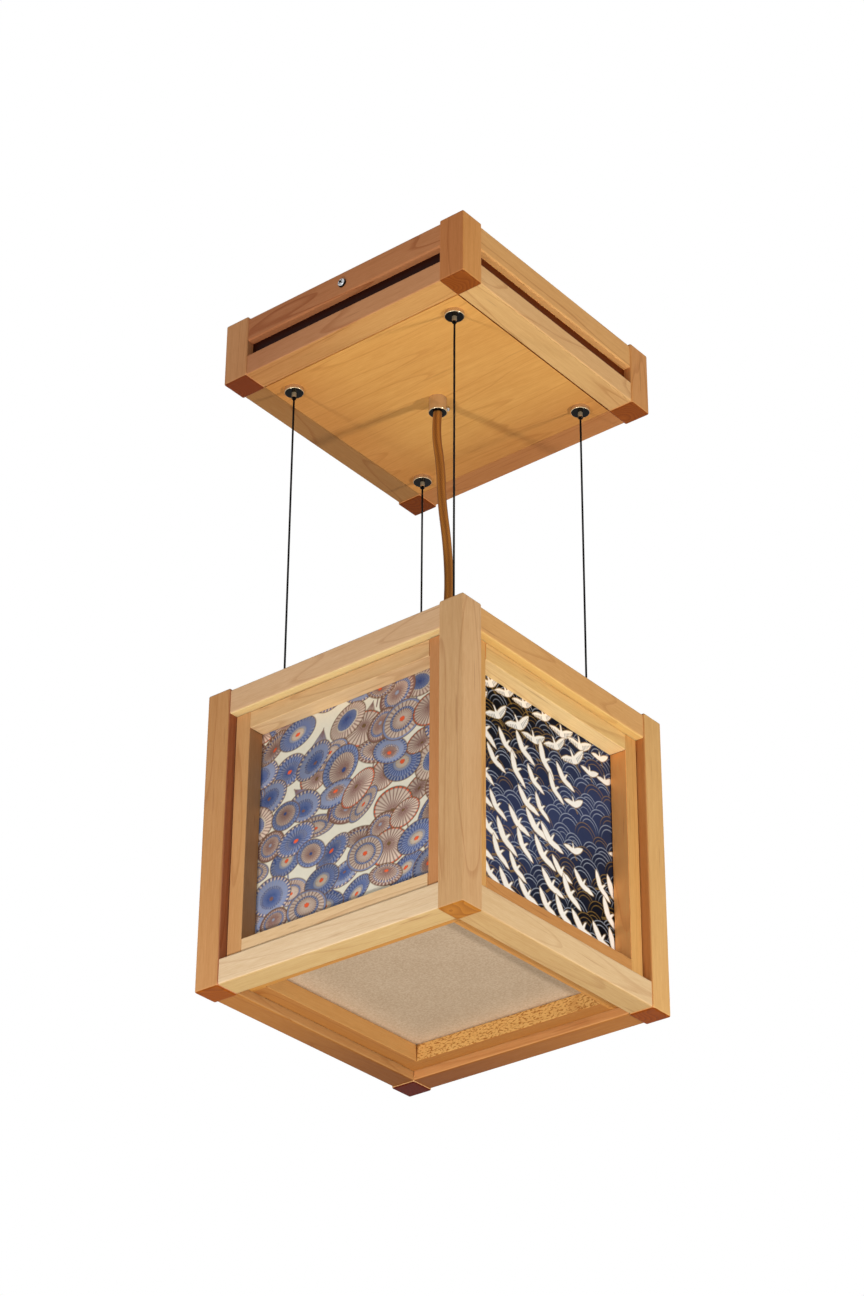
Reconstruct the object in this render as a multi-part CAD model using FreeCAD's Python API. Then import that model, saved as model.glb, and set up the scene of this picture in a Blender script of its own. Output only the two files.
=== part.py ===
import FreeCAD, Part
import math
import os

# A square wooden pendant lamp. A canopy is screwed to the ceiling, and a cube-shaped lantern with
# printed paper sides hangs under it on four wire cables, with one fabric flex in the middle.
# Millimetres. The origin is the centre of the ceiling face, and +Z points up.
# The front post is at (+X, -Y). Everything that comes in fours is turned about the Z axis.

# Canopy
canopy_side = 250.0
canopy_height = 60.0
canopy_post = 24.0
upper_rail_height = 22.6
upper_rail_thickness = 11.0
upper_rail_lip = 6.4
upper_rail_drop = 2.0
lower_rail_height = 19.8
panel_thickness = 9.0
panel_tongue_thickness = 4.0
panel_tongue_length = 5.0
panel_gap = 0.3

# Lantern
lantern_side = 250.0
lantern_height = 250.0
hanging_gap = 294.0
lantern_post = 22.5
top_rail_height = 21.0
bottom_rail_height = 21.0
frame_setback = 8.0
frame_member = 14.0
frame_gap = 0.8
bottom_frame_depth = 14.0
print_thickness = 2.0
print_lap = 9.0
diffuser_thickness = 3.0
diffuser_lap = 11.0
batten_width = 24.0
batten_thickness = 12.0
batten_drop = 2.0
batten_housing = 6.0
lamp_bar_width = 36.0
lamp_bar_thickness = 12.0

# Joinery, shared by both boxes
reveal = 1.2
edge_round = 1.6
frame_edge_round = 0.7
tenon_length = 7.0
tenon_thickness = 6.0
tenon_cheek = 4.0
tenon_shoulder = 3.5
glue_gap = 0.15
fitting_gap = 0.3

# Suspension. The cables hang plumb, in from the outer faces of the narrower box by the inset.
cable_inset = 41.0
cable_diameter = 1.7
cable_overlap = 3.0
sway_limit_deg = 8.0
ball_diameter = 5.0
ball_flat_diameter = 1.8
ball_shank_diameter = 3.4
ball_shank_length = 5.5
ball_gap = 0.15
anchor_barrel_diameter = 8.6
anchor_flange_diameter = 13.0
anchor_flange_thickness = 2.0
anchor_throat_diameter = 3.0
anchor_recess = 1.3

# Cable grippers, with a spring-loaded release plunger in each
gripper_flange_diameter = 16.0
gripper_flange_height = 4.0
gripper_flange_round = 0.9
gripper_barrel_above_nut = 5.0
plunger_diameter = 4.0
plunger_bore_diameter = 2.8
plunger_reach = 5.7
plunger_shoulder_diameter = 5.6
plunger_shoulder_height = 1.5
plunger_travel = 2.2
plunger_gap = 0.2
plunger_tail = 1.5
spring_room = 2.0

# Threads shared by grippers, cord grip and lampholder
nipple_diameter = 10.0
nipple_hole_gap = 0.2
nut_across_flats = 14.0
nut_thickness = 4.0

# Flex and the pieces that hold it
flex_diameter = 7.4
flex_gap = 0.3
flex_end_gap = 1.0
cord_grip_diameter = 15.5
cord_grip_length = 14.0
cord_grip_round = 0.9
cord_grip_nipple_above_nut = 2.0
cord_grip_screw_diameter = 3.0
cord_grip_screw_head = 4.4
cord_grip_screw_head_height = 2.0
cord_grip_screw_height = 4.6
cord_grip_screw_angle_deg = 39.0
bush_diameter = 18.0
bush_grip = 3.0
bush_mouth_height = 6.0

# Ceiling bracket and its side screws
bracket_width = 25.0
bracket_thickness = 2.0
bracket_ear = 22.0
bracket_slot_spacing = 80.0
bracket_slot_width = 5.0
bracket_slot_length = 15.0
side_screw_diameter = 4.0
side_screw_head = 8.0
side_screw_head_height = 2.6
side_screw_past_ear = 4.0
side_screw_recess_width = 1.2
side_screw_recess_depth = 1.3
side_screw_gap = 0.25
tapped_hole_gap = 0.05

# Terminal block on top of the canopy panel
terminal_length = 34.0
terminal_width = 18.0
terminal_height = 14.0
terminal_ways = 3
terminal_hole = 3.6
terminal_offset = 42.0

# Lampholder and bulb
holder_top_diameter = 26.0
holder_skirt_diameter = 38.0
holder_skirt_height = 20.0
holder_floor = 14.0
holder_lip = 2.0
bulb_cap_diameter = 26.0
bulb_cap_length = 24.0
bulb_globe_diameter = 60.0
bulb_length = 105.0
bulb_gap = 0.4
wire_hole = 6.0

# The flex hangs slack to one side. Each route point is how far it stands off the centre line,
# towards flex_lean_deg, and its height over the ceiling face.
flex_lean_deg = 39.0
flex_route = [
    (0.0, -71.8),
    (-1.7, -92.0),
    (2.8, -126.0),
    (3.6, -160.0),
    (8.6, -203.0),
    (10.2, -248.0),
    (6.0, -297.0),
    (1.0, -338.0),
    (0.0, -365.0),
]

post_names = ["left", "front", "right", "rear"]
side_names = ["front_left", "front_right", "back_right", "back_left"]
quarter_turns = [0.0, 90.0, 180.0, 270.0]

# Heights that follow from the sizes above
canopy_bottom = -canopy_height
upper_rail_top = -upper_rail_drop
upper_rail_bottom = upper_rail_top - upper_rail_height
panel_bottom = canopy_bottom + reveal
panel_top = panel_bottom + panel_thickness
nut_top = panel_top + nut_thickness
cable_pivot = panel_bottom - gripper_flange_height - plunger_reach
lantern_top = canopy_bottom - hanging_gap
lantern_bottom = lantern_top - lantern_height
top_rail_top = lantern_top - reveal
frame_top = top_rail_top - top_rail_height
frame_bottom = lantern_bottom + reveal + bottom_rail_height
batten_top = top_rail_top - batten_drop
batten_bottom = batten_top - batten_thickness
lamp_bar_bottom = batten_bottom - lamp_bar_thickness
anchor_bottom = batten_bottom - anchor_flange_thickness
ball_centre = anchor_bottom + anchor_recess
bush_top = batten_bottom + bush_grip + bush_mouth_height
flex_end = batten_bottom + bush_grip + flex_end_gap
cord_grip_bottom = panel_bottom - cord_grip_length

canopy_half = canopy_side / 2
lantern_half = lantern_side / 2
lantern_inner = lantern_half - lantern_post
canopy_inner = canopy_half - canopy_post
# Two side frames almost meet at each inner corner of the lantern.
frame_depth = lantern_post + frame_gap - frame_setback - fitting_gap
cable_half = min(canopy_half, lantern_half) - cable_inset
nipple_radius = nipple_diameter / 2
flex_radius = flex_diameter / 2
cable_radius = cable_diameter / 2
sway = math.radians(sway_limit_deg)


def vector(x, y, z):
    return FreeCAD.Vector(x, y, z)


def block(low, high):
    """A box between two opposite corners."""
    size = [b - a for a, b in zip(low, high)]
    return Part.makeBox(*size, vector(*low))


def turned(shape, degrees):
    """A copy of a shape turned about the Z axis."""
    copy = shape.copy()
    copy.rotate(vector(0, 0, 0), vector(0, 0, 1), degrees)
    return copy


def moved(shape, x, y, z):
    copy = shape.copy()
    copy.translate(vector(x, y, z))
    return copy


def along(shape, direction):
    """The straight edges of a shape that run along a direction."""
    found = []
    for edge in shape.Edges:
        run = edge.Vertexes[-1].Point - edge.Vertexes[0].Point
        if run.Length > 0 and abs(abs(run.normalize().dot(direction)) - 1) < 1e-6:
            found.append(edge)
    return found


def revolved(outline):
    """A solid of revolution about the Z axis from a closed outline of (radius, height) points.
    A third value on a point is the bulge of the arc that leads to it, as (radius, height)."""
    edges = []
    points = [vector(p[0], 0, p[1]) for p in outline]
    for i, point in enumerate(points):
        before = points[i - 1]
        if len(outline[i]) == 3:
            middle = vector(outline[i][2][0], 0, outline[i][2][1])
            edges.append(Part.Arc(before, middle, point).toShape())
        else:
            edges.append(Part.LineSegment(before, point).toShape())
    face = Part.Face(Part.Wire(Part.__sortEdges__(edges)))
    solid = face.revolve(vector(0, 0, 0), vector(0, 0, 1), 360)
    return Part.Solid(Part.Shell(solid.Faces)) if solid.ShapeType != "Solid" else solid


def rod(radius, low, high):
    return Part.makeCylinder(radius, high - low, vector(0, 0, low))


def group(solids):
    return Part.makeCompound(solids)


def at_cables(shape):
    """Four copies of a shape, one at each cable."""
    corner = moved(shape, -cable_half, -cable_half, 0)
    return [turned(corner, degrees) for degrees in quarter_turns]


def save(name, shape):
    shape.exportStep(os.path.join("parts", name + ".step"))


def save_turned(stem, names, shape):
    """Write one piece four times, turned to each side or corner."""
    for name, degrees in zip(names, quarter_turns):
        save(stem + "_" + name, turned(shape, degrees))


# Posts and rails


def tenon_box(half, post, thickness, low, high, gap):
    """The tenon at the left end of the rail on the -Y side, or its mortise when gap is above zero."""
    start = -(half - post)
    cheek = -half + reveal + tenon_cheek
    back = cheek + min(tenon_thickness, thickness - tenon_cheek)
    return block(
        (start - tenon_length - 2 * gap, cheek - gap, low + tenon_shoulder - gap),
        (start, back + gap, high - tenon_shoulder + gap),
    )


def swapped(shape):
    """The mirror image across the upright plane x = y, which carries one side's joint to the next."""
    return shape.mirror(vector(0, 0, 0), vector(1, -1, 0).normalize())


def corner_post(half, side, low, high, rails):
    """The post at (-X, -Y) with eased edges, and a mortise for each rail on its two inner faces."""
    post = block((-half, -half, low), (-half + side, -half + side, high))
    post = post.makeFillet(edge_round, post.Edges)
    for thickness, rail_low, rail_high in rails:
        mortise = tenon_box(half, side, thickness, rail_low, rail_high, glue_gap)
        post = post.cut(mortise).cut(swapped(mortise))
    return post


def rail(half, post, thickness, low, high):
    """The rail on the -Y side, set back from the posts by the reveal, with a tenon at each end."""
    inner = half - post
    front = -half + reveal
    bar = block((-inner, front, low), (inner, front + thickness, high))
    bar = bar.makeFillet(edge_round, along(bar, vector(1, 0, 0)))
    tenon = tenon_box(half, post, thickness, low, high, 0.0)
    other = tenon.mirror(vector(0, 0, 0), vector(1, 0, 0))
    return bar.fuse([tenon, other]).removeSplitter()


upper_rail = (upper_rail_thickness, upper_rail_bottom, upper_rail_top)
lower_rail = (canopy_post - reveal, panel_bottom, panel_bottom + lower_rail_height)
top_rail = (lantern_post - reveal, frame_top, top_rail_top)
bottom_rail = (lantern_post - reveal, lantern_bottom + reveal, frame_bottom)


def side_screw_hole(rail_shape):
    """The clearance hole for the side screw, through the middle of an upper rail."""
    middle = (upper_rail_bottom + upper_rail_top) / 2
    radius = side_screw_diameter / 2 + side_screw_gap
    start = vector(0, -canopy_half, middle)
    hole = Part.makeCylinder(radius, 2 * upper_rail_thickness, start, vector(0, 1, 0))
    return rail_shape.cut(hole)


def upper_canopy_rail():
    """An upper rail with a tongue behind its lower edge, which closes the slot over the lower rail."""
    front = -canopy_half + reveal
    tongue = block(
        (-canopy_inner, front + upper_rail_lip, panel_bottom + lower_rail_height + fitting_gap),
        (canopy_inner, front + upper_rail_thickness, upper_rail_bottom + 2 * edge_round),
    )
    return rail(canopy_half, canopy_post, *upper_rail).fuse(tongue).removeSplitter()


def canopy_frame():
    post = corner_post(canopy_half, canopy_post, canopy_bottom, 0.0, [upper_rail, lower_rail])
    save_turned("canopy_post", post_names, post)

    plain = upper_canopy_rail()
    drilled = side_screw_hole(plain)
    for i, name in enumerate(side_names):
        shape = drilled if i % 2 == 0 else plain
        save("canopy_upper_rail_" + name, turned(shape, quarter_turns[i]))

    lower = rail(canopy_half, canopy_post, *lower_rail)
    tongue_middle = panel_bottom + panel_thickness / 2
    reach = panel_tongue_thickness / 2 + glue_gap
    groove = block(
        (-canopy_inner, -canopy_inner - panel_tongue_length - 2 * glue_gap, tongue_middle - reach),
        (canopy_inner, -canopy_inner, tongue_middle + reach),
    )
    save_turned("canopy_lower_rail", side_names, lower.cut(groove))


def canopy_panel():
    """Plywood sheet between the lower rails, with a tongue on each edge and holes for the fittings."""
    half = canopy_inner - panel_gap
    middle = panel_bottom + panel_thickness / 2
    sheet = block((-half, -half, panel_bottom), (half, half, panel_top))
    tongue = block(
        (-half, -half - panel_tongue_length, middle - panel_tongue_thickness / 2),
        (half, -half, middle + panel_tongue_thickness / 2),
    )
    sheet = sheet.fuse([turned(tongue, degrees) for degrees in quarter_turns]).removeSplitter()
    hole = rod(nipple_radius + nipple_hole_gap, panel_bottom - 1, panel_top + 1)
    save("canopy_panel", sheet.cut([hole] + at_cables(hole)))


def ceiling_bracket():
    """Steel strap across the canopy, with two slots for ceiling screws and a tapped ear at each end."""
    half_length = canopy_half - reveal - upper_rail_thickness - fitting_gap
    half_width = bracket_width / 2
    strap = block((-half_width, -half_length, -bracket_thickness), (half_width, half_length, 0.0))
    ear = block(
        (-half_width, -half_length, -bracket_ear),
        (half_width, -half_length + bracket_thickness, -bracket_thickness),
    )
    middle = (upper_rail_bottom + upper_rail_top) / 2
    tapped = Part.makeCylinder(
        side_screw_diameter / 2 + tapped_hole_gap,
        bracket_thickness * 3,
        vector(0, -half_length - bracket_thickness, middle),
        vector(0, 1, 0),
    )
    ear = ear.cut(tapped)
    bracket = strap.fuse([ear, turned(ear, 180)]).removeSplitter()
    bend = [
        edge
        for edge in along(bracket, vector(1, 0, 0))
        if abs(abs(edge.CenterOfMass.y) - half_length) < 1e-6 and abs(edge.CenterOfMass.z) < 1e-6
    ]
    bracket = bracket.makeFillet(bracket_thickness, bend)
    slot_half = (bracket_slot_length - bracket_slot_width) / 2
    radius = bracket_slot_width / 2
    for sign in (-1, 1):
        y = sign * bracket_slot_spacing / 2
        ends = [
            moved(rod(radius, -2 * bracket_thickness, bracket_thickness), 0, y + end * slot_half, 0)
            for end in (-1, 1)
        ]
        middle_box = block(
            (-radius, y - slot_half, -2 * bracket_thickness),
            (radius, y + slot_half, bracket_thickness),
        )
        bracket = bracket.cut(middle_box.fuse(ends).removeSplitter())
    save("ceiling_bracket", bracket)


def side_screw():
    """Pan-head machine screw along +Y, with its head on the outside of the upper rail."""
    radius = side_screw_diameter / 2
    head = side_screw_head / 2
    length = upper_rail_thickness + fitting_gap + bracket_thickness + side_screw_past_ear
    crown = (head * 0.72, -side_screw_head_height * 0.86)
    solid = revolved([
        (0, -side_screw_head_height, crown),
        (0, length),
        (radius, length),
        (radius, 0),
        (head, 0),
    ])
    blade = block(
        (-head * 0.55, -side_screw_recess_width / 2, -side_screw_head_height - 1),
        (head * 0.55, side_screw_recess_width / 2, -side_screw_head_height + side_screw_recess_depth),
    )
    solid = solid.cut([turned(blade, 45), turned(blade, 135)])
    solid.rotate(vector(0, 0, 0), vector(1, 0, 0), -90)
    middle = (upper_rail_bottom + upper_rail_top) / 2
    return moved(solid, 0, -canopy_half + reveal, middle)


# Fittings under and on top of the canopy panel


def gripper_body():
    """Turned gripper: a drum-shaped flange under the panel and a threaded barrel above it."""
    flange = gripper_flange_diameter / 2
    bore = plunger_bore_diameter / 2
    mouth = plunger_diameter / 2 + plunger_gap
    chamber = plunger_shoulder_diameter / 2 + plunger_gap
    low = panel_bottom - gripper_flange_height
    ease = gripper_flange_round
    turn = ease * (1 - math.sqrt(0.5))
    ledge = panel_bottom - plunger_gap
    roof = panel_bottom + plunger_shoulder_height + plunger_tail + plunger_travel + spring_room
    top = nut_top + gripper_barrel_above_nut
    return revolved([
        (bore, top),
        (nipple_radius, top),
        (nipple_radius, panel_bottom),
        (flange, panel_bottom),
        (flange, low + ease),
        (flange - ease, low, (flange - turn, low + turn)),
        (mouth, low),
        (mouth, ledge),
        (chamber, ledge),
        (chamber, roof),
        (bore, roof),
    ])


def gripper_plunger():
    """Release plunger: a nozzle below the flange and a shoulder that rests on the ledge inside."""
    bore = plunger_bore_diameter / 2
    tip = plunger_diameter / 2
    shoulder = plunger_shoulder_diameter / 2
    low = panel_bottom
    high = low + plunger_shoulder_height
    ease = (tip - bore) / 3
    return revolved([
        (bore, cable_pivot),
        (tip - ease, cable_pivot),
        (tip, cable_pivot + ease),
        (tip, low),
        (shoulder, low),
        (shoulder, high),
        (tip, high),
        (tip, high + plunger_tail),
        (bore, high + plunger_tail),
    ])


def panel_nut():
    """Thin hexagon nut on top of the panel."""
    corner = nut_across_flats / math.sqrt(3)
    points = []
    for i in range(7):
        angle = math.radians(60 * i)
        points.append(vector(corner * math.cos(angle), corner * math.sin(angle), panel_top))
    prism = Part.Face(Part.makePolygon(points)).extrude(vector(0, 0, nut_thickness))
    return prism.cut(rod(nipple_radius + tapped_hole_gap, panel_top - 1, nut_top + 1))


def cord_grip():
    """Turned sleeve round the flex, with a nipple through the panel and a tapped hole in its side."""
    outer = cord_grip_diameter / 2
    bore = flex_radius + flex_gap
    low = cord_grip_bottom
    top = nut_top + cord_grip_nipple_above_nut
    ease = cord_grip_round
    turn = ease * (1 - math.sqrt(0.5))
    sleeve = revolved([
        (bore, top),
        (nipple_radius, top),
        (nipple_radius, panel_bottom),
        (outer, panel_bottom),
        (outer, low + ease),
        (outer - ease, low, (outer - turn, low + turn)),
        (bore, low),
    ])
    tapped = Part.makeCylinder(
        cord_grip_screw_diameter / 2 + tapped_hole_gap,
        outer,
        vector(bore - 1, 0, low + cord_grip_screw_height),
        vector(1, 0, 0),
    )
    return turned(sleeve.cut(tapped), cord_grip_screw_angle_deg)


def cord_grip_screw():
    """Clamping screw in the side of the cord grip, with a domed head and a driver slot."""
    outer = cord_grip_diameter / 2
    head = cord_grip_screw_head / 2
    start = flex_radius + flex_gap
    neck = outer + fitting_gap
    tip = neck + cord_grip_screw_head_height
    solid = revolved([
        (0, start),
        (0, tip),
        (head, neck, (head * 0.78, neck + cord_grip_screw_head_height * 0.72)),
        (cord_grip_screw_diameter / 2, neck),
        (cord_grip_screw_diameter / 2, start),
    ])
    slot = block((-head, -head / 5, tip - head / 3), (head, head / 5, tip + 1))
    solid = solid.cut(slot)
    solid.rotate(vector(0, 0, 0), vector(0, 1, 0), 90)
    solid.translate(vector(0, 0, cord_grip_bottom + cord_grip_screw_height))
    return turned(solid, cord_grip_screw_angle_deg)


def terminal_block():
    """Moulded connector with a through hole for each wire and a screw well over each end of it."""
    low = (terminal_offset - terminal_width / 2, -terminal_length / 2, panel_top)
    high = (terminal_offset + terminal_width / 2, terminal_length / 2, panel_top + terminal_height)
    body = block(low, high)
    body = body.makeFillet(edge_round, along(body, vector(0, 0, 1)))
    pitch = terminal_length / terminal_ways
    wire_height = panel_top + terminal_height / 3
    well = rod(terminal_hole / 2, wire_height, high[2] + 1)
    for i in range(terminal_ways):
        y = (i - (terminal_ways - 1) / 2) * pitch
        start = vector(low[0] - 1, y, wire_height)
        body = body.cut(Part.makeCylinder(terminal_hole / 2, terminal_width + 2, start, vector(1, 0, 0)))
        for side in (-1, 1):
            x = terminal_offset + side * terminal_width / 4
            body = body.cut(moved(well, x, y, 0))
    return body


def canopy_fittings():
    save("gripper_bodies", group(at_cables(gripper_body())))
    save_turned("gripper_plunger", post_names, moved(gripper_plunger(), -cable_half, -cable_half, 0))
    save("panel_nuts", group(at_cables(panel_nut()) + [panel_nut()]))
    save("cord_grip", cord_grip())
    save("cord_grip_screw", cord_grip_screw())
    save("terminal_block", terminal_block())
    screw = side_screw()
    save("bracket_screws", group([screw, turned(screw, 180)]))


# Cables and flex


def suspension():
    ball = ball_diameter / 2
    flat = ball_flat_diameter / 2
    flat_height = math.sqrt(ball ** 2 - flat ** 2)
    shank = ball_shank_diameter / 2
    shank_height = math.sqrt(ball ** 2 - shank ** 2)
    cable = rod(cable_radius, ball_centre + flat_height, cable_pivot + cable_overlap)
    save_turned("suspension_cable", post_names, moved(cable, -cable_half, -cable_half, 0))
    end = revolved([
        (0, flat_height),
        (flat, flat_height),
        (shank, -shank_height, (ball, 0)),
        (shank, -ball_shank_length),
        (0, -ball_shank_length),
    ])
    save_turned("cable_end", post_names, moved(end, -cable_half, -cable_half, ball_centre))


def cable_anchor():
    """Flanged bush pressed up through a batten: a conical seat for the ball, and above it a flare
    that leaves the cable room to lean by the sway limit."""
    pocket = ball_diameter / 2 + 2 * ball_gap
    throat = anchor_throat_diameter / 2
    seat_low = ball_centre + math.sqrt(2) * (ball_diameter / 2 + ball_gap) - pocket
    seat_high = seat_low + pocket - throat
    flare = cable_radius / math.cos(sway) + math.tan(sway) * (batten_top - ball_centre) + fitting_gap
    return revolved([
        (pocket, anchor_bottom),
        (anchor_flange_diameter / 2, anchor_bottom),
        (anchor_flange_diameter / 2, batten_bottom),
        (anchor_barrel_diameter / 2, batten_bottom),
        (anchor_barrel_diameter / 2, batten_top),
        (flare, batten_top),
        (throat, seat_high),
        (pocket, seat_low),
    ])


def flex_points():
    lean = math.radians(flex_lean_deg)
    return [vector(off * math.cos(lean), off * math.sin(lean), z) for off, z in flex_route]


def flex_cord():
    """Round tube along straight runs joined by tangent arcs, as large as the runs allow."""
    points = flex_points()
    edges = []
    radii = []
    start = points[0]
    for before, corner, after in zip(points, points[1:], points[2:]):
        back = before - corner
        ahead = after - corner
        cut_back = 0.45 * min(back.Length, ahead.Length)
        back.normalize()
        ahead.normalize()
        half_turn = (math.pi - back.getAngle(ahead)) / 2
        radius = cut_back / math.tan(half_turn)
        radii.append(round(radius, 1))
        enter = corner + back * cut_back
        leave = corner + ahead * cut_back
        bisector = (back + ahead).normalize()
        middle = corner + bisector * (radius / math.cos(half_turn) - radius)
        edges.append(Part.LineSegment(start, enter).toShape())
        edges.append(Part.Arc(enter, middle, leave).toShape())
        start = leave
    edges.append(Part.LineSegment(start, points[-1]).toShape())
    path = Part.Wire(edges)
    first = (points[1] - points[0]).normalize()
    section = Part.Wire(Part.makeCircle(flex_radius, points[0], first))
    tube = path.makePipeShell([section], True, False)
    expected = math.pi * flex_radius ** 2 * path.Length
    share = round(tube.Volume / expected, 4)
    print("flex length", round(path.Length, 1), "tightest bend", min(radii), "volume share", share)
    return tube


# Lantern


def batten_housings(rail_shape):
    """Open-topped housings in a top rail for the ends of the two battens."""
    half = batten_width / 2 + glue_gap
    for sign in (-1, 1):
        centre = sign * cable_half
        housing = block(
            (centre - half, -lantern_inner - batten_housing - 2 * glue_gap, batten_bottom - glue_gap),
            (centre + half, -lantern_inner + 1, top_rail_top + 1),
        )
        rail_shape = rail_shape.cut(housing)
    return rail_shape


def lantern_frame():
    post = corner_post(lantern_half, lantern_post, lantern_bottom, lantern_top, [top_rail, bottom_rail])
    save_turned("lantern_post", post_names, post)
    plain = rail(lantern_half, lantern_post, *top_rail)
    housed = batten_housings(plain)
    for i, name in enumerate(side_names):
        shape = housed if i % 2 == 0 else plain
        save("lantern_top_rail_" + name, turned(shape, quarter_turns[i]))
    save_turned("lantern_bottom_rail", side_names, rail(lantern_half, lantern_post, *bottom_rail))


def eased_bar(low, high, direction):
    """A frame member with its long edges eased."""
    bar = block(low, high)
    return bar.makeFillet(frame_edge_round, along(bar, direction))


def side_frame():
    """Inner frame on the -Y side: two full-height stiles and two cross members between them."""
    half = lantern_inner - frame_gap
    inner = half - frame_member
    front = -lantern_half + frame_setback
    back = front + frame_depth
    low = frame_bottom
    high = frame_top - frame_gap
    members = []
    for sign in (-1, 1):
        edges = sorted((sign * half, sign * inner))
        members.append(eased_bar((edges[0], front, low), (edges[1], back, high), vector(0, 0, 1)))
    for bottom in (low, high - frame_member):
        members.append(
            eased_bar((-inner, front, bottom), (inner, back, bottom + frame_member), vector(1, 0, 0))
        )
    return group(members)


def print_panel():
    """Printed paper on a stiff sheet, fixed to the back of the side frame."""
    half = lantern_inner - frame_gap - frame_member + print_lap
    back = -lantern_half + frame_setback + frame_depth
    low = frame_bottom + frame_member - print_lap
    high = frame_top - frame_gap - frame_member + print_lap
    return block((-half, back, low), (half, back + print_thickness, high))


def bottom_frame():
    """Frame between the bottom rails, set up from the underside, that carries the diffuser."""
    half = lantern_inner - frame_gap
    inner = half - frame_member
    high = frame_bottom
    low = high - bottom_frame_depth
    members = []
    for sign in (-1, 1):
        edges = sorted((sign * half, sign * inner))
        members.append(eased_bar((-half, edges[0], low), (half, edges[1], high), vector(1, 0, 0)))
        members.append(eased_bar((edges[0], -inner, low), (edges[1], inner, high), vector(0, 1, 0)))
    return group(members)


def diffuser():
    half = lantern_inner - frame_gap - frame_member + diffuser_lap
    sheet = block((-half, -half, frame_bottom), (half, half, frame_bottom + diffuser_thickness))
    return sheet.makeFillet(frame_edge_round, along(sheet, vector(0, 0, 1)))


def top_frame():
    """Two battens housed in the top rails, and the lamp bar fixed under them."""
    half_length = lantern_inner + batten_housing
    solids = []
    for sign in (-1, 1):
        centre = sign * cable_half
        batten = eased_bar(
            (centre - batten_width / 2, -half_length, batten_bottom),
            (centre + batten_width / 2, half_length, batten_top),
            vector(0, 1, 0),
        )
        for end in (-1, 1):
            hole = rod(anchor_barrel_diameter / 2 + tapped_hole_gap, batten_bottom - 1, batten_top + 1)
            batten = batten.cut(moved(hole, centre, end * cable_half, 0))
        solids.append(batten)
    reach = cable_half + batten_width / 2
    bar = eased_bar(
        (-reach, -lamp_bar_width / 2, lamp_bar_bottom),
        (reach, lamp_bar_width / 2, batten_bottom),
        vector(1, 0, 0),
    )
    bar = bar.cut(rod(nipple_radius + nipple_hole_gap, lamp_bar_bottom - 1, batten_bottom + 1))
    solids.append(bar)
    return group(solids)


def flex_bush():
    """Bell-mouthed bush on top of the lamp bar. The mouth leaves the flex room to lean."""
    outer = bush_diameter / 2
    floor = batten_bottom + bush_grip
    slack = flex_radius / math.cos(sway) + flex_gap
    floor_radius = slack + math.sin(sway) * (flex_end - ball_centre)
    mouth_radius = slack + math.sin(sway) * (bush_top - ball_centre)
    lip = (mouth_radius + outer - 1.5) / 2
    return revolved([
        (nipple_radius + tapped_hole_gap, batten_bottom),
        (outer, batten_bottom),
        (outer, floor),
        (outer - 1.5, bush_top, (outer - 1.2, (floor + bush_top) / 2)),
        (mouth_radius, bush_top, (lip, bush_top + 0.4)),
        (floor_radius, floor),
        (nipple_radius + tapped_hole_gap, floor),
    ])


def lampholder():
    """Screw lampholder: nipple through the lamp bar, round shoulder, and a skirt round the bulb cap."""
    top = lamp_bar_bottom
    low = top - holder_floor - bulb_cap_length + holder_lip
    small = holder_top_diameter / 2
    big = holder_skirt_diameter / 2
    skirt = low + holder_skirt_height
    roof = top - holder_floor
    cavity = bulb_cap_diameter / 2 + bulb_gap
    nipple_top = batten_bottom + bush_grip
    return revolved([
        (wire_hole / 2, nipple_top),
        (nipple_radius, nipple_top),
        (nipple_radius, top),
        (small, top),
        (big, skirt, (small + 0.72 * (big - small), skirt + 0.42 * (top - skirt))),
        (big, low),
        (cavity, low),
        (cavity, roof),
        (wire_hole / 2, roof),
    ])


def bulb():
    """Lamp with a screw cap and a pear-shaped globe, hanging from the lampholder."""
    top = lamp_bar_bottom - holder_floor - bulb_gap
    cap = bulb_cap_diameter / 2
    globe = bulb_globe_diameter / 2
    neck_z = top - bulb_cap_length
    low = top - bulb_length
    centre = low + globe
    shoulder = math.radians(35)
    join = (globe * math.cos(shoulder), centre + globe * math.sin(shoulder))
    waist = ((cap + join[0]) / 2 - 2.0, (neck_z + join[1]) / 2 + 1.0)
    return revolved([
        (0, top),
        (cap * 0.45, top),
        (cap, top - cap * 0.4),
        (cap, neck_z),
        (join[0], join[1], waist),
        (0, low, (globe, centre)),
    ])


def lantern_fittings():
    save_turned("side_frame", side_names, side_frame())
    save_turned("print_panel", side_names, print_panel())
    save("bottom_frame", bottom_frame())
    save("diffuser", diffuser())
    save("top_frame", top_frame())
    save("cable_anchors", group(at_cables(cable_anchor())))
    save("flex_bush", flex_bush())
    save("lampholder", lampholder())
    save("bulb", bulb())


os.makedirs("parts", exist_ok=True)
canopy_frame()
canopy_panel()
ceiling_bracket()
canopy_fittings()
suspension()
save("flex_cord", flex_cord())
lantern_frame()
lantern_fittings()
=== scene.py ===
"""Dresses a square wooden pendant lamp: maple frames, printed paper sides, fittings, cables and flex."""

import math

import bpy
import numpy as np
from mathutils import Matrix, Vector


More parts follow.
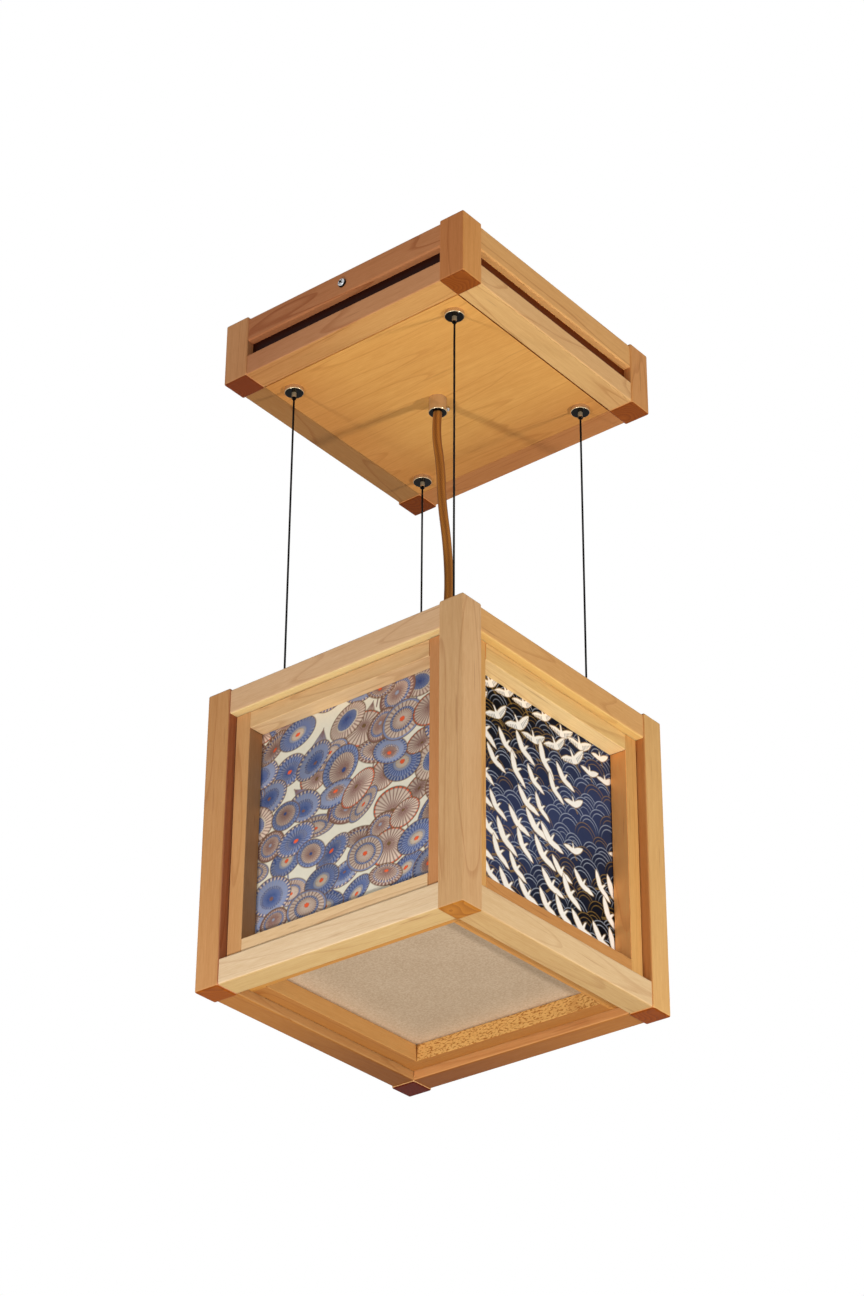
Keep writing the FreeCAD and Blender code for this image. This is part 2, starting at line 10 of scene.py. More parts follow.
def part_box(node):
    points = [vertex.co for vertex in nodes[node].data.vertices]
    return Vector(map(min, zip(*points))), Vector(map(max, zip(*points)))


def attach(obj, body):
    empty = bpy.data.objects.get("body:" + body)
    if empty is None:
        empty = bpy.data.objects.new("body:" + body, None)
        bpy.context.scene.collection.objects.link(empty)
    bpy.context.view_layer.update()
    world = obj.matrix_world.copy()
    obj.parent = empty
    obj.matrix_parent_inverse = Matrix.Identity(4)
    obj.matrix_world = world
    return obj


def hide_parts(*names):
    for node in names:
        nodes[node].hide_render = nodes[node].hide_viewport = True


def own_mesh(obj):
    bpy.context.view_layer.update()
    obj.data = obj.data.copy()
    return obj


bl_info = {
    "name": "Pendant lamp dressing",
    "version": (1, 0, 0),
    "blender": (4, 5, 0),
    "location": "3D View > Sidebar > Lamp",
    "description": "Gives a square wooden pendant lamp its wood, prints, metal, cables and flex",
    "category": "Object",
}

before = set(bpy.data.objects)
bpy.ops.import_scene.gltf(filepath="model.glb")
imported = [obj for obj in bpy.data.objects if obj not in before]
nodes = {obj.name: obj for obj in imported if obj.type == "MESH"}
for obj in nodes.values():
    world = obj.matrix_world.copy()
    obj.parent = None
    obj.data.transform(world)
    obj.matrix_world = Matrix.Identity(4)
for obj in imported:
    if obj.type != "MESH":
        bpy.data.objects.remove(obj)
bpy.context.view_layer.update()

POSTS = ("left", "front", "right", "rear")
# Each side's outward direction, and the direction that is to the right for someone who looks at it.
SIDES = {
    "front_left": ((0, -1), (1, 0)),
    "front_right": ((1, 0), (0, 1)),
    "back_right": ((0, 1), (-1, 0)),
    "back_left": ((-1, 0), (0, -1)),
}
GRAIN = {side: "X" if right[0] else "Y" for side, (_, right) in SIDES.items()}
# Lengths in metres: the face width of a side frame's members, a margin past the line where two of them
# meet, and how far a print's painted window reaches in behind them.
FRAME_MEMBER = 0.014
SEAM_MARGIN = 0.0005
WINDOW_LAP = 0.0006
# Each listed board's share of its group's red, green and blue: partly its own tone, and partly painted
# light and shade for how the lamps fall on it. The back rails' shares are painted shade on their inner
# faces and undersides, the post ends' shares are painted light and shade, and the slot's share is painted
# light where the lamps reach into it.
TONE_AND_LIGHT_SHARES = {
    "canopy_post_front": (1.09, 1.14, 0.92),
    "canopy_post_left": (0.92, 1.02, 1.22),
    "canopy_post_right": (1.06, 1.15, 1.09),
    "canopy_upper_rail_front_left": (0.81, 0.66, 0.65),
    "canopy_upper_rail_front_right": (1.12, 1.19, 1.02),
    "canopy_lower_rail_front_left": (0.91, 0.85, 0.94),
    "canopy_lower_rail_front_right": (1.16, 1.36, 1.42),
    "canopy_lower_rail_back_left": (0.55, 0.5, 0.38),
    "canopy_lower_rail_back_right": (0.64, 0.55, 0.44),
    "lantern_post_front": (0.96, 0.99, 1.1),
    "lantern_post_left": (0.84, 0.72, 0.65),
    "lantern_post_right": (1.0, 0.99, 0.83),
    "lantern_top_rail_front_left": (0.98, 1.08, 1.28),
    "lantern_top_rail_front_right": (0.93, 0.87, 0.66),
    "lantern_bottom_rail_front_left": (0.99, 1.0, 1.08),
    "lantern_bottom_rail_front_right": (0.91, 0.85, 0.77),
    "lantern_bottom_rail_back_left": (0.58, 0.4, 0.24),
    "lantern_bottom_rail_back_right": (0.8, 0.52, 0.32),
    "side_frame_front_left": (0.97, 0.97, 1.11),
    "side_frame_front_right": (1.03, 1.03, 0.9),
    "canopy_upper_rail_front_right stain": (5.7, 7.0, 1.4),
    "canopy_post_front end": (1.07, 1.15, 0.9),
    "canopy_post_left end": (0.72, 0.62, 0.8),
    "canopy_post_right end": (1.05, 1.07, 0.85),
    "canopy_post_rear end": (0.68, 0.59, 0.24),
    "lantern_post_front end": (1.79, 2.95, 2.5),
    "lantern_post_left end": (1.1, 1.16, 0.4),
    "lantern_post_right end": (0.95, 0.86, 0.18),
    "lantern_post_rear end": (0.36, 0.13, 0.02),
}
# Painted light and shade on a part of a board, as where() takes it: a soft change along it where the
# lamps fall off, or the faces that look one way, lit or shaded by how the lamps fall.
PAINTED_PART_SHADING = (
    ("canopy_post_front", "facing -Y", None, (0.82, 0.69, 0.78)),
    ("canopy_upper_rail_front_left", "X", (0.07, -0.1), (0.86, 0.8, 0.82)),
    ("canopy_lower_rail_front_left", "X", (0.04, -0.1), (0.84, 0.77, 0.77)),
    ("canopy_lower_rail_front_left", "facing -Z", None, (0.88, 0.97, 0.69)),
    ("canopy_lower_rail_front_left", "facing -Z", ("X", 0.05, -0.09), (0.72, 0.71, 0.52)),
    ("canopy_lower_rail_front_right", "facing -Z", None, (0.77, 0.79, 0.73)),
    ("canopy_lower_rail_front_right", "facing -Z", ("Y", 0.03, 0.1), (0.7, 0.67, 0.61)),
    ("canopy_lower_rail_back_left", "facing -Z", None, (0.78, 0.81, 0.84)),
    ("canopy_lower_rail_back_right", "facing -Z", None, (0.92, 0.86, 0.84)),
    ("lantern_post_front", "Z", (-0.42, -0.6), (0.9, 0.88, 0.85)),
    ("lantern_post_left", "facing +X", None, (0.87, 0.69, 0.85)),
    ("lantern_post_right", "facing -Y", None, (0.94, 0.73, 0.67)),
    ("lantern_top_rail_front_left", "facing -Z", None, (1.13, 1.38, 1.2)),
    ("lantern_top_rail_front_right", "facing -Z", None, (1.2, 1.5, 1.5)),
    ("lantern_bottom_rail_front_left", "facing -Z", None, (0.72, 0.65, 0.45)),
    ("lantern_bottom_rail_front_right", "facing -Z", None, (0.73, 0.67, 0.54)),
    ("lantern_bottom_rail_back_left", "facing -Z", None, (0.85, 0.69, 0.44)),
    ("lantern_bottom_rail_back_left", "facing -Z", ("Y", -0.1, 0.1), (0.46, 0.31, 0.18)),
    ("lantern_bottom_rail_back_right", "facing -Z", None, (0.59, 0.48, 0.29)),
    ("lantern_bottom_rail_back_right", "facing -Z", ("X", 0.09, -0.1), (0.35, 0.24, 0.16)),
)
# Painted light and shade for a side frame: on its faces that look down, on its lower member, a painted
# shadow of the bottom rail along the foot of that, on the inner face of one stile, and on the stile at its
# right-hand end.
FRAME_LIGHT_AND_SHADE = {
    "front_left": (
        (1.14, 1.25, 1.4), (1.08, 1.19, 1.36), (0.66, 0.6, 0.75), (0.76, 0.66, 0.64), (0.78, 0.56, 0.44)
    ),
    "front_right": (
        (1.28, 1.44, 1.84), (0.73, 0.53, 0.42), (0.73, 0.53, 0.42), (1.42, 1.07, 0.95), (0.88, 0.74, 0.62)
    ),
}


def tint(red, green, blue):
    """An 8-bit screen colour as the linear colour that a shader socket holds."""
    share = np.array((red, green, blue)) / 255.0
    linear = np.where(share <= 0.04045, share / 12.92, ((share + 0.055) / 1.055) ** 2.4)
    return tuple(float(value) for value in linear)


def colour_property(name, description, *screen):
    """A colour whose first value is given as an 8-bit screen colour."""
    return bpy.props.FloatVectorProperty(
        name=name, description=description, default=tint(*screen), size=3, min=0.0, max=1.0, subtype="COLOR"
    )


def number_property(name, description, value, **more):
    return bpy.props.FloatProperty(name=name, description=description, default=value, **more)


def length_property(name, description, value):
    return number_property(name, description, value, min=0.0, unit="LENGTH", precision=5)


def power_property(name, description, value):
    return number_property(name, description, value, min=0.0, subtype="POWER")


def place_property(name, description, value):
    return bpy.props.FloatVectorProperty(name=name, description=description, default=value, subtype="XYZ")


class CordSettings(bpy.types.PropertyGroup):
    cable_diameter: length_property("Cable diameter", "Across one steel suspension cable", 0.0017)
    cable_lay: length_property("Cable lay", "Length in which a strand goes once round the cable", 0.010)
    cable_strands: bpy.props.IntProperty(
        name="Cable strands", description="Strands round one cable", default=6, min=3, max=12
    )
    flex_diameter: length_property("Flex diameter", "Across the fabric flex", 0.0074)
    flex_twist: length_property("Flex twist", "Length in which the flex's streaks go once round", 0.34)
    cable_colour: colour_property("Cable colour", "Black coating of the cables", 9, 8, 8)
    flex_pale: colour_property("Flex pale thread", "Paler thread of the flex", 186, 118, 41)
    flex_deep: colour_property("Flex deep thread", "Deeper thread of the flex", 100, 52, 11)


class WoodSettings(bpy.types.PropertyGroup):
    canopy_post: colour_property("Canopy posts", "Wood of the canopy's posts", 229, 159, 100)
    canopy_rail: colour_property("Canopy rails", "Wood of the canopy's rails", 236, 176, 119)
    panel: colour_property("Panel", "Veneer of the canopy's panel", 226, 168, 92)
    lantern_post: colour_property("Lantern posts", "Wood of the lantern's posts", 224, 178, 123)
    top_rail: colour_property("Top rails", "Wood of the lantern's top rails", 232, 184, 133)
    bottom_rail: colour_property("Bottom rails", "Wood of the lantern's bottom rails", 234, 207, 165)
    side_frame: colour_property("Side frames", "Wood of the frames round the prints", 230, 190, 131)
    bottom_frame: colour_property("Bottom frame", "Wood of the frame under the diffuser", 199, 155, 98)
    end_grain: colour_property("End grain", "Cut ends of the posts", 150, 77, 29)
    # Painted shade: the dark colour in the canopy's slot stands in for the shade inside it.
    stain: colour_property("Painted_slot_shade", "Dark wood in the canopy's slot", 40, 10, 4)
    fleck: colour_property("Fleck", "Small brown flecks along the grain", 150, 92, 52)


class PrintSettings(bpy.types.PropertyGroup):
    paper: colour_property("Paper", "Cream ground of the parasol print", 230, 223, 203)
    blue: colour_property("Blue", "Main blue of the parasols", 132, 143, 176)
    deep_blue: colour_property("Deep blue", "Bands and dashes of the parasols", 64, 82, 132)
    slate: colour_property("Slate", "Greyed blue of the parasols", 146, 150, 166)
    taupe: colour_property("Taupe", "Grey-brown of the parasols", 207, 187, 168)
    mauve: colour_property("Mauve", "Brown rims of the parasols", 130, 94, 86)
    red: colour_property("Red", "Centres and edges of the parasols", 236, 98, 60)
    gold: colour_property("Gold", "Golden-brown outlines", 118, 90, 62)
    navy: colour_property("Navy", "Dark ground of the wave print", 4, 4, 6)
    dusk: colour_property("Dusk", "Paler middle of the wave print's ground", 50, 58, 88)
    foam: colour_property("Foam", "Pale wave lines", 190, 196, 208)
    bronze: colour_property("Bronze", "The cranes' outlines and some wave lines", 160, 124, 62)
    feather: colour_property("Feather", "White of the cranes", 250, 242, 229)
    cells: bpy.props.IntProperty(
        name="Cells", description="Cells along each side of a printed sheet", default=304, min=40, max=312
    )


class FittingSettings(bpy.types.PropertyGroup):
    nickel: colour_property("Nickel", "Plated grippers, cable ends and cord grip", 196, 190, 182)
    # The grip bodies' pale, warm colour is partly painted reflection of the wood and lamps round them.
    body: colour_property("Grip bodies", "Polished bodies of the grippers and cord grip", 216, 193, 156)
    zinc: colour_property("Zinc", "Bracket, nuts and screws", 186, 188, 190)
    diffuser: colour_property("Diffuser", "Matt sheet under the lamp", 183, 161, 136)
    holder: colour_property("Lampholder", "Moulded lampholder and bush", 58, 40, 30)
    terminal: colour_property("Terminal block", "Moulded terminal block", 226, 222, 210)
    bulb: colour_property("Bulb", "Opal glass of the bulb", 244, 240, 230)


class StageSettings(bpy.types.PropertyGroup):
    camera_place: place_property("Camera", "Where the camera stands", (1.31482, -1.63426, -1.54427))
    camera_target: place_property("Target", "Where it looks", (-0.00046, -0.00493, -0.29994))
    camera_roll: number_property("Roll", "Turn about the view line", math.radians(0.3821), subtype="ANGLE")
    lens: number_property("Lens", "Focal length in mm", 86.1619, min=10.0, subtype="DISTANCE_CAMERA")
    floor_level: number_property("Floor level", "Height of the floor under the ceiling", -3.0, unit="LENGTH")
    floor_glow: number_property("Floor glow", "How much paler the floor shows than it is lit", 0.57, min=0.0)
    left_power: power_property("Left lamp power", "Power of the near lamp on the left", 4.7)
    right_power: power_property("Right lamp power", "Power of the far lamp on the right", 14.0)
    lamp_width: length_property("Lamp width", "Side of the left lamp, of which the right one is 1.6", 0.07)
    low_power: power_property("Low lamp power", "Power of the wide lamp under the object", 9.0)
    front_power: power_property("Front lamp power", "Power of the wide lamp in front", 8.0)
    back_power: power_property("Back lamp power", "Power of the wide lamp behind the object", 14.0)
    ambient: number_property("Ambient", "Soft light from all round", 0.26, min=0.0, max=2.0)


# Materials


def new_tree(name):
    material = bpy.data.materials.new(name)
    material.use_nodes = True
    material.node_tree.nodes.clear()
    return material, material.node_tree


def put(tree, kind, inputs=None, **settings):
    """Adds one node. inputs gives sockets to join or values to set, by the input's name or number."""
    node = tree.nodes.new(kind)
    for key, value in settings.items():
        setattr(node, key, value)
    for key, value in (inputs or {}).items():
        if isinstance(value, bpy.types.NodeSocket):
            tree.links.new(value, node.inputs[key])
        else:
            node.inputs[key].default_value = value
    return node


def maths(tree, operation, first, second=0.0, third=0.5, clamp=False):
    inputs = {0: first, 1: second, 2: third}
    return put(tree, "ShaderNodeMath", inputs, operation=operation, use_clamp=clamp).outputs[0]


def times(tree, first, second, clamp=False):
    return maths(tree, "MULTIPLY", first, second, clamp=clamp)


def plus(tree, first, second, clamp=False):
    return maths(tree, "ADD", first, second, clamp=clamp)


def parts_of(tree, vector):
    return put(tree, "ShaderNodeSeparateXYZ", {0: vector}).outputs


def place_in(tree):
    """Object coordinates, which stay with a piece when it moves."""
    return put(tree, "ShaderNodeTexCoord").outputs["Object"]


def normal_in(tree):
    return put(tree, "ShaderNodeNewGeometry").outputs["Normal"]


def mixed(tree, share, first, second, blend="MIX"):
    """Colour between first and second."""

    def whole(value):
        return value if isinstance(value, bpy.types.NodeSocket) else (*value, 1.0)[:4]

    inputs = {0: share, 6: whole(first), 7: whole(second)}
    return put(tree, "ShaderNodeMix", inputs, data_type="RGBA", blend_type=blend).outputs[2]


def between(tree, value, low, high, to_low=0.0, to_high=1.0):
    """A smooth step of value from low to high."""
    inputs = {0: value, 1: low, 2: high, 3: to_low, 4: to_high}
    return put(tree, "ShaderNodeMapRange", inputs, interpolation_type="SMOOTHSTEP").outputs[0]


def stretched(tree, vector, scale):
    return put(tree, "ShaderNodeMapping", {"Vector": vector, "Scale": scale}).outputs[0]


def noise(tree, vector, scale, detail=2.0, roughness=0.5):
    inputs = {"Vector": vector, "Scale": scale, "Detail": detail, "Roughness": roughness}
    return put(tree, "ShaderNodeTexNoise", inputs).outputs[0]


def finished(tree, colour, roughness, height=None, depth=0.0002, relief=0.3, **sockets):
    """Ends a tree in a Principled surface.

    A roughness of two values changes from the first to the second with the height's noise. sockets are other
    inputs by their names, with _ for a space.
    """
    if isinstance(roughness, tuple):
        roughness = between(tree, height, 0.2, 0.8, *roughness)
    inputs = {"Base Color": colour, "Roughness": roughness}
    inputs.update({key.replace("_", " "): value for key, value in sockets.items()})
    if height is not None:
        bump = put(tree, "ShaderNodeBump", {"Height": height, "Strength": relief, "Distance": depth})
        inputs["Normal"] = bump.outputs[0]
    surface = put(tree, "ShaderNodeBsdfPrincipled", inputs)
    put(tree, "ShaderNodeOutputMaterial", {"Surface": surface.outputs[0]})


def dress(names, material):
    """Puts a material on every slot of the named CAD nodes."""
    for name in names:
        for slot in nodes[name].material_slots:
            slot.material = material


def maple_figure():
    """Node group for solid wood in coordinates whose Z runs along the grain.

    Growth rings are the contour lines of a smooth noise drawn out along the grain, so they close into
    long arches on a flat face and into curved bands on a cut end. Fibres are a fine noise drawn out
    much further, and flecks are the peaks of a third one. A cut end takes the end colour.
    """
    group = bpy.data.node_groups.get("Maple figure")
    if group:
        return group
    group = bpy.data.node_groups.new("Maple figure", "ShaderNodeTree")
    for way, kind, names in (
        ("INPUT", "Vector", ("Vector",)),
        ("INPUT", "Color", ("Tone", "End", "Fleck")),
        ("INPUT", "Float", ("Facing", "Rings", "Fleck share")),
        ("OUTPUT", "Color", ("Color",)),
        ("OUTPUT", "Float", ("Roughness", "Height")),
    ):
        for name in names:
            group.interface.new_socket(name=name, in_out=way, socket_type=f"NodeSocket{kind}")
    given = put(group, "NodeGroupInput").outputs
    vector = given["Vector"]
    field = noise(group, stretched(group, vector, (1.0, 1.0, 0.1)), 22.0, 1.5, 0.4)
    ring = maths(group, "FRACT", times(group, field, 10.0))
    line = times(group, between(group, ring, 0.86, 0.97), between(group, ring, 1.0, 0.975))
    blotch = noise(group, stretched(group, vector, (1.0, 1.0, 0.3)), 30.0, 3.0, 0.55)
    fibre = noise(group, stretched(group, vector, (1.0, 1.0, 0.06)), 1300.0, 3.0, 0.65)
    coarse = noise(group, stretched(group, vector, (1.0, 1.0, 0.02)), 330.0, 2.0, 0.5)
    speck = noise(group, stretched(group, vector, (1.0, 1.0, 0.05)), 330.0, 1.0, 0.4)
    speck = times(group, between(group, speck, 0.7, 0.77), given["Fleck share"])
    tone = 0.0
    for part, weight in ((blotch, 0.55), (fibre, 1.0), (coarse, 0.45)):
        tone = plus(group, tone, times(group, maths(group, "SUBTRACT", part, 0.5), weight))
    tone = plus(group, tone, 0.37, clamp=True)
    colour = mixed(group, tone, given["Tone"], (0.74, 0.61, 0.47), "MULTIPLY")
    line = times(group, line, given["Rings"])
    colour = mixed(group, line, colour, (0.62, 0.42, 0.3), "MULTIPLY")
    colour = mixed(group, speck, colour, given["Fleck"])
    cut = between(group, given["Facing"], 0.4, 0.66)
    bands = maths(group, "FRACT", times(group, field, 34.0))
    pores = noise(group, vector, 1500.0, 2.0, 0.6)
    shade = times(group, plus(group, bands, pores), 0.5, clamp=True)
    end = mixed(group, shade, given["End"], (0.5, 0.4, 0.3), "MULTIPLY")
    colour = mixed(group, cut, colour, end)
    roughness = maths(group, "MULTIPLY_ADD", fibre, 0.22, 0.4)
    height = maths(group, "SUBTRACT", fibre, times(group, speck, 0.6))
    put(group, "NodeGroupOutput", {0: colour, 1: roughness, 2: height})
    return group


def along_grain(tree, axis):
    """Coordinates with the grain's axis last, how squarely a face is cut across it, and X, Y and Z."""
    place = place_in(tree)
    parts = parts_of(tree, place)
    order = {"X": (1, 2, 0), "Y": (2, 0, 1), "Z": (0, 1, 2)}[axis]
    vector = put(tree, "ShaderNodeCombineXYZ", {i: parts[k] for i, k in enumerate(order)}).outputs[0]
    facing = maths(tree, "ABSOLUTE", parts_of(tree, normal_in(tree))[order[2]])
    return vector, facing, parts


def where(tree, parts, coordinate, limit):
    """1 in one part of a piece and 0 elsewhere, by its object coordinates, the parts.

    A coordinate such as "X" is for what lies beyond the limit on the limit's side of zero, and "both X" for
    what lies beyond it on either side. A limit of two values is a soft change from the first to the second.
    A direction such as "facing -Z" is for the faces that look that way. It has no limit, or (axis, first,
    second) for a soft change along the piece.
    """
    axis = "XYZ".index(coordinate[-1])
    if coordinate.startswith("facing "):
        sign = -1.0 if "-" in coordinate else 1.0
        there = between(tree, parts_of(tree, normal_in(tree))[axis], 0.5 * sign, 0.9 * sign)
        if limit:
            there = times(tree, there, between(tree, parts["XYZ".index(limit[0])], *limit[1:]))
        return there
    value = parts[axis]
    if isinstance(limit, tuple):
        return between(tree, value, *limit)
    if coordinate.startswith("both "):
        value = maths(tree, "ABSOLUTE", value)
    return maths(tree, "GREATER_THAN" if limit > 0 else "LESS_THAN", value, limit)


def wood(
    name, tone, axis, other=None, rings=0.4, fleck_share=0.3, end=None, painted_shading=(), stain=None, flakes=None
):
    """Solid wood with its grain along axis.

    other is (axis, split axis, limit): the members beyond the limit have their grain along this axis. Each
    entry of the painted light and shade is (coordinate, limit, share): the first two are for where(), and
    the figure's colour there is multiplied by the share. A later one of them overrides an earlier one. The
    slot's painted shade is (height, colour), and the wood below that height takes the colour. flakes is
    (axis, limit, colour): coarse flakes beyond the limit.
    """
    settings = bpy.context.scene.lamp_wood
    material, tree = new_tree(name)
    vector, facing, parts = along_grain(tree, axis)
    if other:
        second, across, limit = other
        beyond = where(tree, parts, f"both {across}", limit)
        vector_too, facing_too, _ = along_grain(tree, second)
        inputs = {0: beyond, 4: vector, 5: vector_too}
        vector = put(tree, "ShaderNodeMix", inputs, data_type="VECTOR").outputs[1]
        inputs = {0: beyond, 2: facing, 3: facing_too}
        facing = put(tree, "ShaderNodeMix", inputs, data_type="FLOAT").outputs[0]
    inputs = {
        "Vector": vector,
        "Facing": facing,
        "Tone": (*tone, 1.0),
        "End": (*(end or settings.end_grain), 1.0),
        "Fleck": (*settings.fleck, 1.0),
        "Rings": rings,
        "Fleck share": fleck_share,
    }
    figure, roughness, height = put(tree, "ShaderNodeGroup", inputs, node_tree=maple_figure()).outputs
    colour = figure
    # Painted light and shade: the figure's colour times the share, where each entry applies.
    for coordinate, limit, share in painted_shading:
        there = where(tree, parts, coordinate, limit)
        colour = mixed(tree, there, colour, mixed(tree, 1.0, figure, share, "MULTIPLY"))
    if flakes:
        spots = noise(tree, stretched(tree, vector, (1.0, 1.0, 0.45)), 800.0, 2.0, 0.6)
        spots = times(tree, between(tree, spots, 0.48, 0.64), where(tree, parts, *flakes[:2]))
        colour = mixed(tree, spots, colour, flakes[2])
    # Painted shade in the canopy's slot: the wood below the given height takes the dark slot colour.
    if stain:
        colour = mixed(tree, where(tree, parts, "Z", stain[0]), colour, stain[1])
    finished(tree, colour, roughness, height, 0.00015, 0.3, Specular_IOR_Level=0.08)
    return material


def board_tone_and_light(tone, node):
    """A board's colour: its group's tone times its share, which is partly painted light and shade."""
    share = TONE_AND_LIGHT_SHARES.get(node, (1.0, 1.0, 1.0))
    return tuple(float(value) for value in np.clip(np.array(tone) * share, 0.0, 1.0))


def dress_board(node, tone, axis, painted_shading=(), **more):
    """Gives one board its own piece of wood, with the shares and the painted light and shade that the tables
    above have for it.

    A back rail's share is painted shade on its inner faces and underside, and its outward face takes the
    inverse share, so it is as pale outside as the rest of its group. A post has end grain of its own.
    """
    painted_shading = list(painted_shading)
    # Painted shade on a back rail is undone on its outward face, which keeps its group's tone.
    if "_rail_back_" in node and node in TONE_AND_LIGHT_SHARES:
        outward = "facing +Y" if node.endswith("right") else "facing -X"
        painted_shading.append((outward, None, tuple(1 / value for value in TONE_AND_LIGHT_SHARES[node])))
    painted_shading += [shade for board, *shade in PAINTED_PART_SHADING if board == node]
    if "_post_" in node:
        more["end"] = board_tone_and_light(bpy.context.scene.lamp_wood.end_grain, f"{node} end")
    dress([node], wood(f"Wood {node}", board_tone_and_light(tone, node), axis, painted_shading=painted_shading, **more))


class LAMP_OT_canopy_wood(bpy.types.Operator):
    """Gives the canopy's posts, rails and veneered panel their wood."""

    bl_idname = "lamp.canopy_wood"
    bl_label = "Canopy wood"

    def execute(self, context):
        tones = context.scene.lamp_wood
        for post in POSTS:
            dress_board(f"canopy_post_{post}", tones.canopy_post, "Z", rings=0.35)
        # Painted shade in the canopy's slot: the upper rail below this height takes the dark slot colour,
        # paler on the front right side, where the lamps light into it.
        slot = 0.0143
        slot_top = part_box("canopy_lower_rail_front_left")[1][2] + slot
        for side, axis in GRAIN.items():
            node = f"canopy_upper_rail_{side}"
            stain = (slot_top, board_tone_and_light(tones.stain, f"{node} stain"))
            dress_board(node, tones.canopy_rail, axis, rings=0.6, stain=stain)
            dress_board(f"canopy_lower_rail_{side}", tones.canopy_rail, axis, rings=0.4)
        # Painted shade: the veneer darkens towards its -X and +Y edges, where less lamp light reaches it.
        deep = (0.8, 0.7, 0.68)
        painted_shading = (("X", (-0.02, -0.1), deep), ("Y", (0.035, 0.1), deep))
        dress(["canopy_panel"], wood("Canopy veneer", tones.panel, "X", None, 0.26, 0.2, painted_shading=painted_shading))
        return {"FINISHED"}


class LAMP_OT_lantern_wood(bpy.types.Operator):
    """Gives the lantern's posts, rails and inner frames their wood."""

    bl_idname = "lamp.lantern_wood"
    bl_label = "Lantern wood"

    def execute(self, context):
        tones = context.scene.lamp_wood
        for post in POSTS:
            dress_board(f"lantern_post_{post}", tones.lantern_post, "Z", rings=0.34)
        low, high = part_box("side_frame_front_left")
        stile = high[0] - FRAME_MEMBER - SEAM_MARGIN
        sill = low[2] + FRAME_MEMBER + SEAM_MARGIN
        # The painted shadow of the bottom rail ends this far below the sill.
        rail_shadow_drop = 0.0125
        for side, axis in GRAIN.items():
            dress_board(f"lantern_top_rail_{side}", tones.top_rail, axis, rings=0.28)
            dress_board(f"lantern_bottom_rail_{side}", tones.bottom_rail, axis, rings=0.26)
            under, lower, rail_shadow, jamb, right = FRAME_LIGHT_AND_SHADE.get(side, FRAME_LIGHT_AND_SHADE["front_left"])
            # Painted light and shade on the side frame: its undersides, its lower member, the painted shadow
            # of the bottom rail, both stiles, the stile at its right-hand end and one stile's inner face.
            painted_shading = (
                ("facing -Z", None, under),
                ("Z", sill, lower),
                ("Z", sill - rail_shadow_drop, rail_shadow),
                (f"both {axis}", stile, (0.88, 0.74, 0.62)),
                (axis, stile, right),
                ("facing -Y" if axis == "Y" else "facing +X", None, jamb),
            )
            upright = ("Z", axis, stile)
            dress_board(f"side_frame_{side}", tones.side_frame, axis, painted_shading, other=upright, rings=0.34)
        # Painted light and shade on the bottom frame: its +Y member paler, its -X member deeper, its
        # undersides deeper still, and its -Y and +X members, undersides too, a little deeper.
        painted_shading = (
            ("Y", stile, (1.3, 1.34, 1.2)),
            ("X", -stile, (0.93, 0.87, 0.78)),
            ("facing -Z", None, (0.72, 0.54, 0.37)),
            ("Y", -stile, (0.94, 0.78, 0.48)),
            ("X", stile, (0.96, 0.8, 0.56)),
        )
        flakes = ("Y", stile, tint(162, 104, 50))
        across = ("X", "Y", stile)
        low = wood("Wood bottom_frame", tones.bottom_frame, "Y", across, painted_shading=painted_shading, flakes=flakes)
        dress(["bottom_frame"], low)
        batten = 0.072
        dress(["top_frame"], wood("Wood top_frame", tones.bottom_frame, "X", ("Y", "X", batten)))
        return {"FINISHED"}


# Cords


def spline_points(name, route, resolution):
    """Points along a smooth spline of order 3 that has the route's points as its control points."""
    curve = bpy.data.curves.new(name, "CURVE")
    curve.dimensions = "3D"
    spline = curve.splines.new("NURBS")
    spline.points.add(len(route) - 1)
    weights = np.ones((len(route), 1))
    spline.points.foreach_set("co", np.hstack([np.array(route), weights]).ravel())
    spline.order_u = 3
    spline.use_endpoint_u = True
    spline.resolution_u = resolution
    holder = bpy.data.objects.new(name, curve)
    mesh = bpy.data.meshes.new_from_object(holder)
    points = np.empty(len(mesh.vertices) * 3)
    mesh.vertices.foreach_get("co", points)
    bpy.data.objects.remove(holder)
    bpy.data.curves.remove(curve)
    bpy.data.meshes.remove(mesh)
    return points.reshape(-1, 3)


def even_steps(points, step):
    """The same line with its points an equal step apart."""
    travel = np.concatenate([[0.0], np.cumsum(np.linalg.norm(np.diff(points, axis=0), axis=1))])
    wanted = np.linspace(0.0, travel[-1], max(3, int(round(travel[-1] / step)) + 1))
    return np.stack([np.interp(wanted, travel, points[:, k]) for k in range(3)], axis=1), wanted


def new_piece(name, vertices, faces):
    mesh = bpy.data.meshes.new(name)
    mesh.from_pydata(vertices.tolist(), [], faces)
    piece = bpy.data.objects.new(name, mesh)
    bpy.context.scene.collection.objects.link(piece)
    return piece


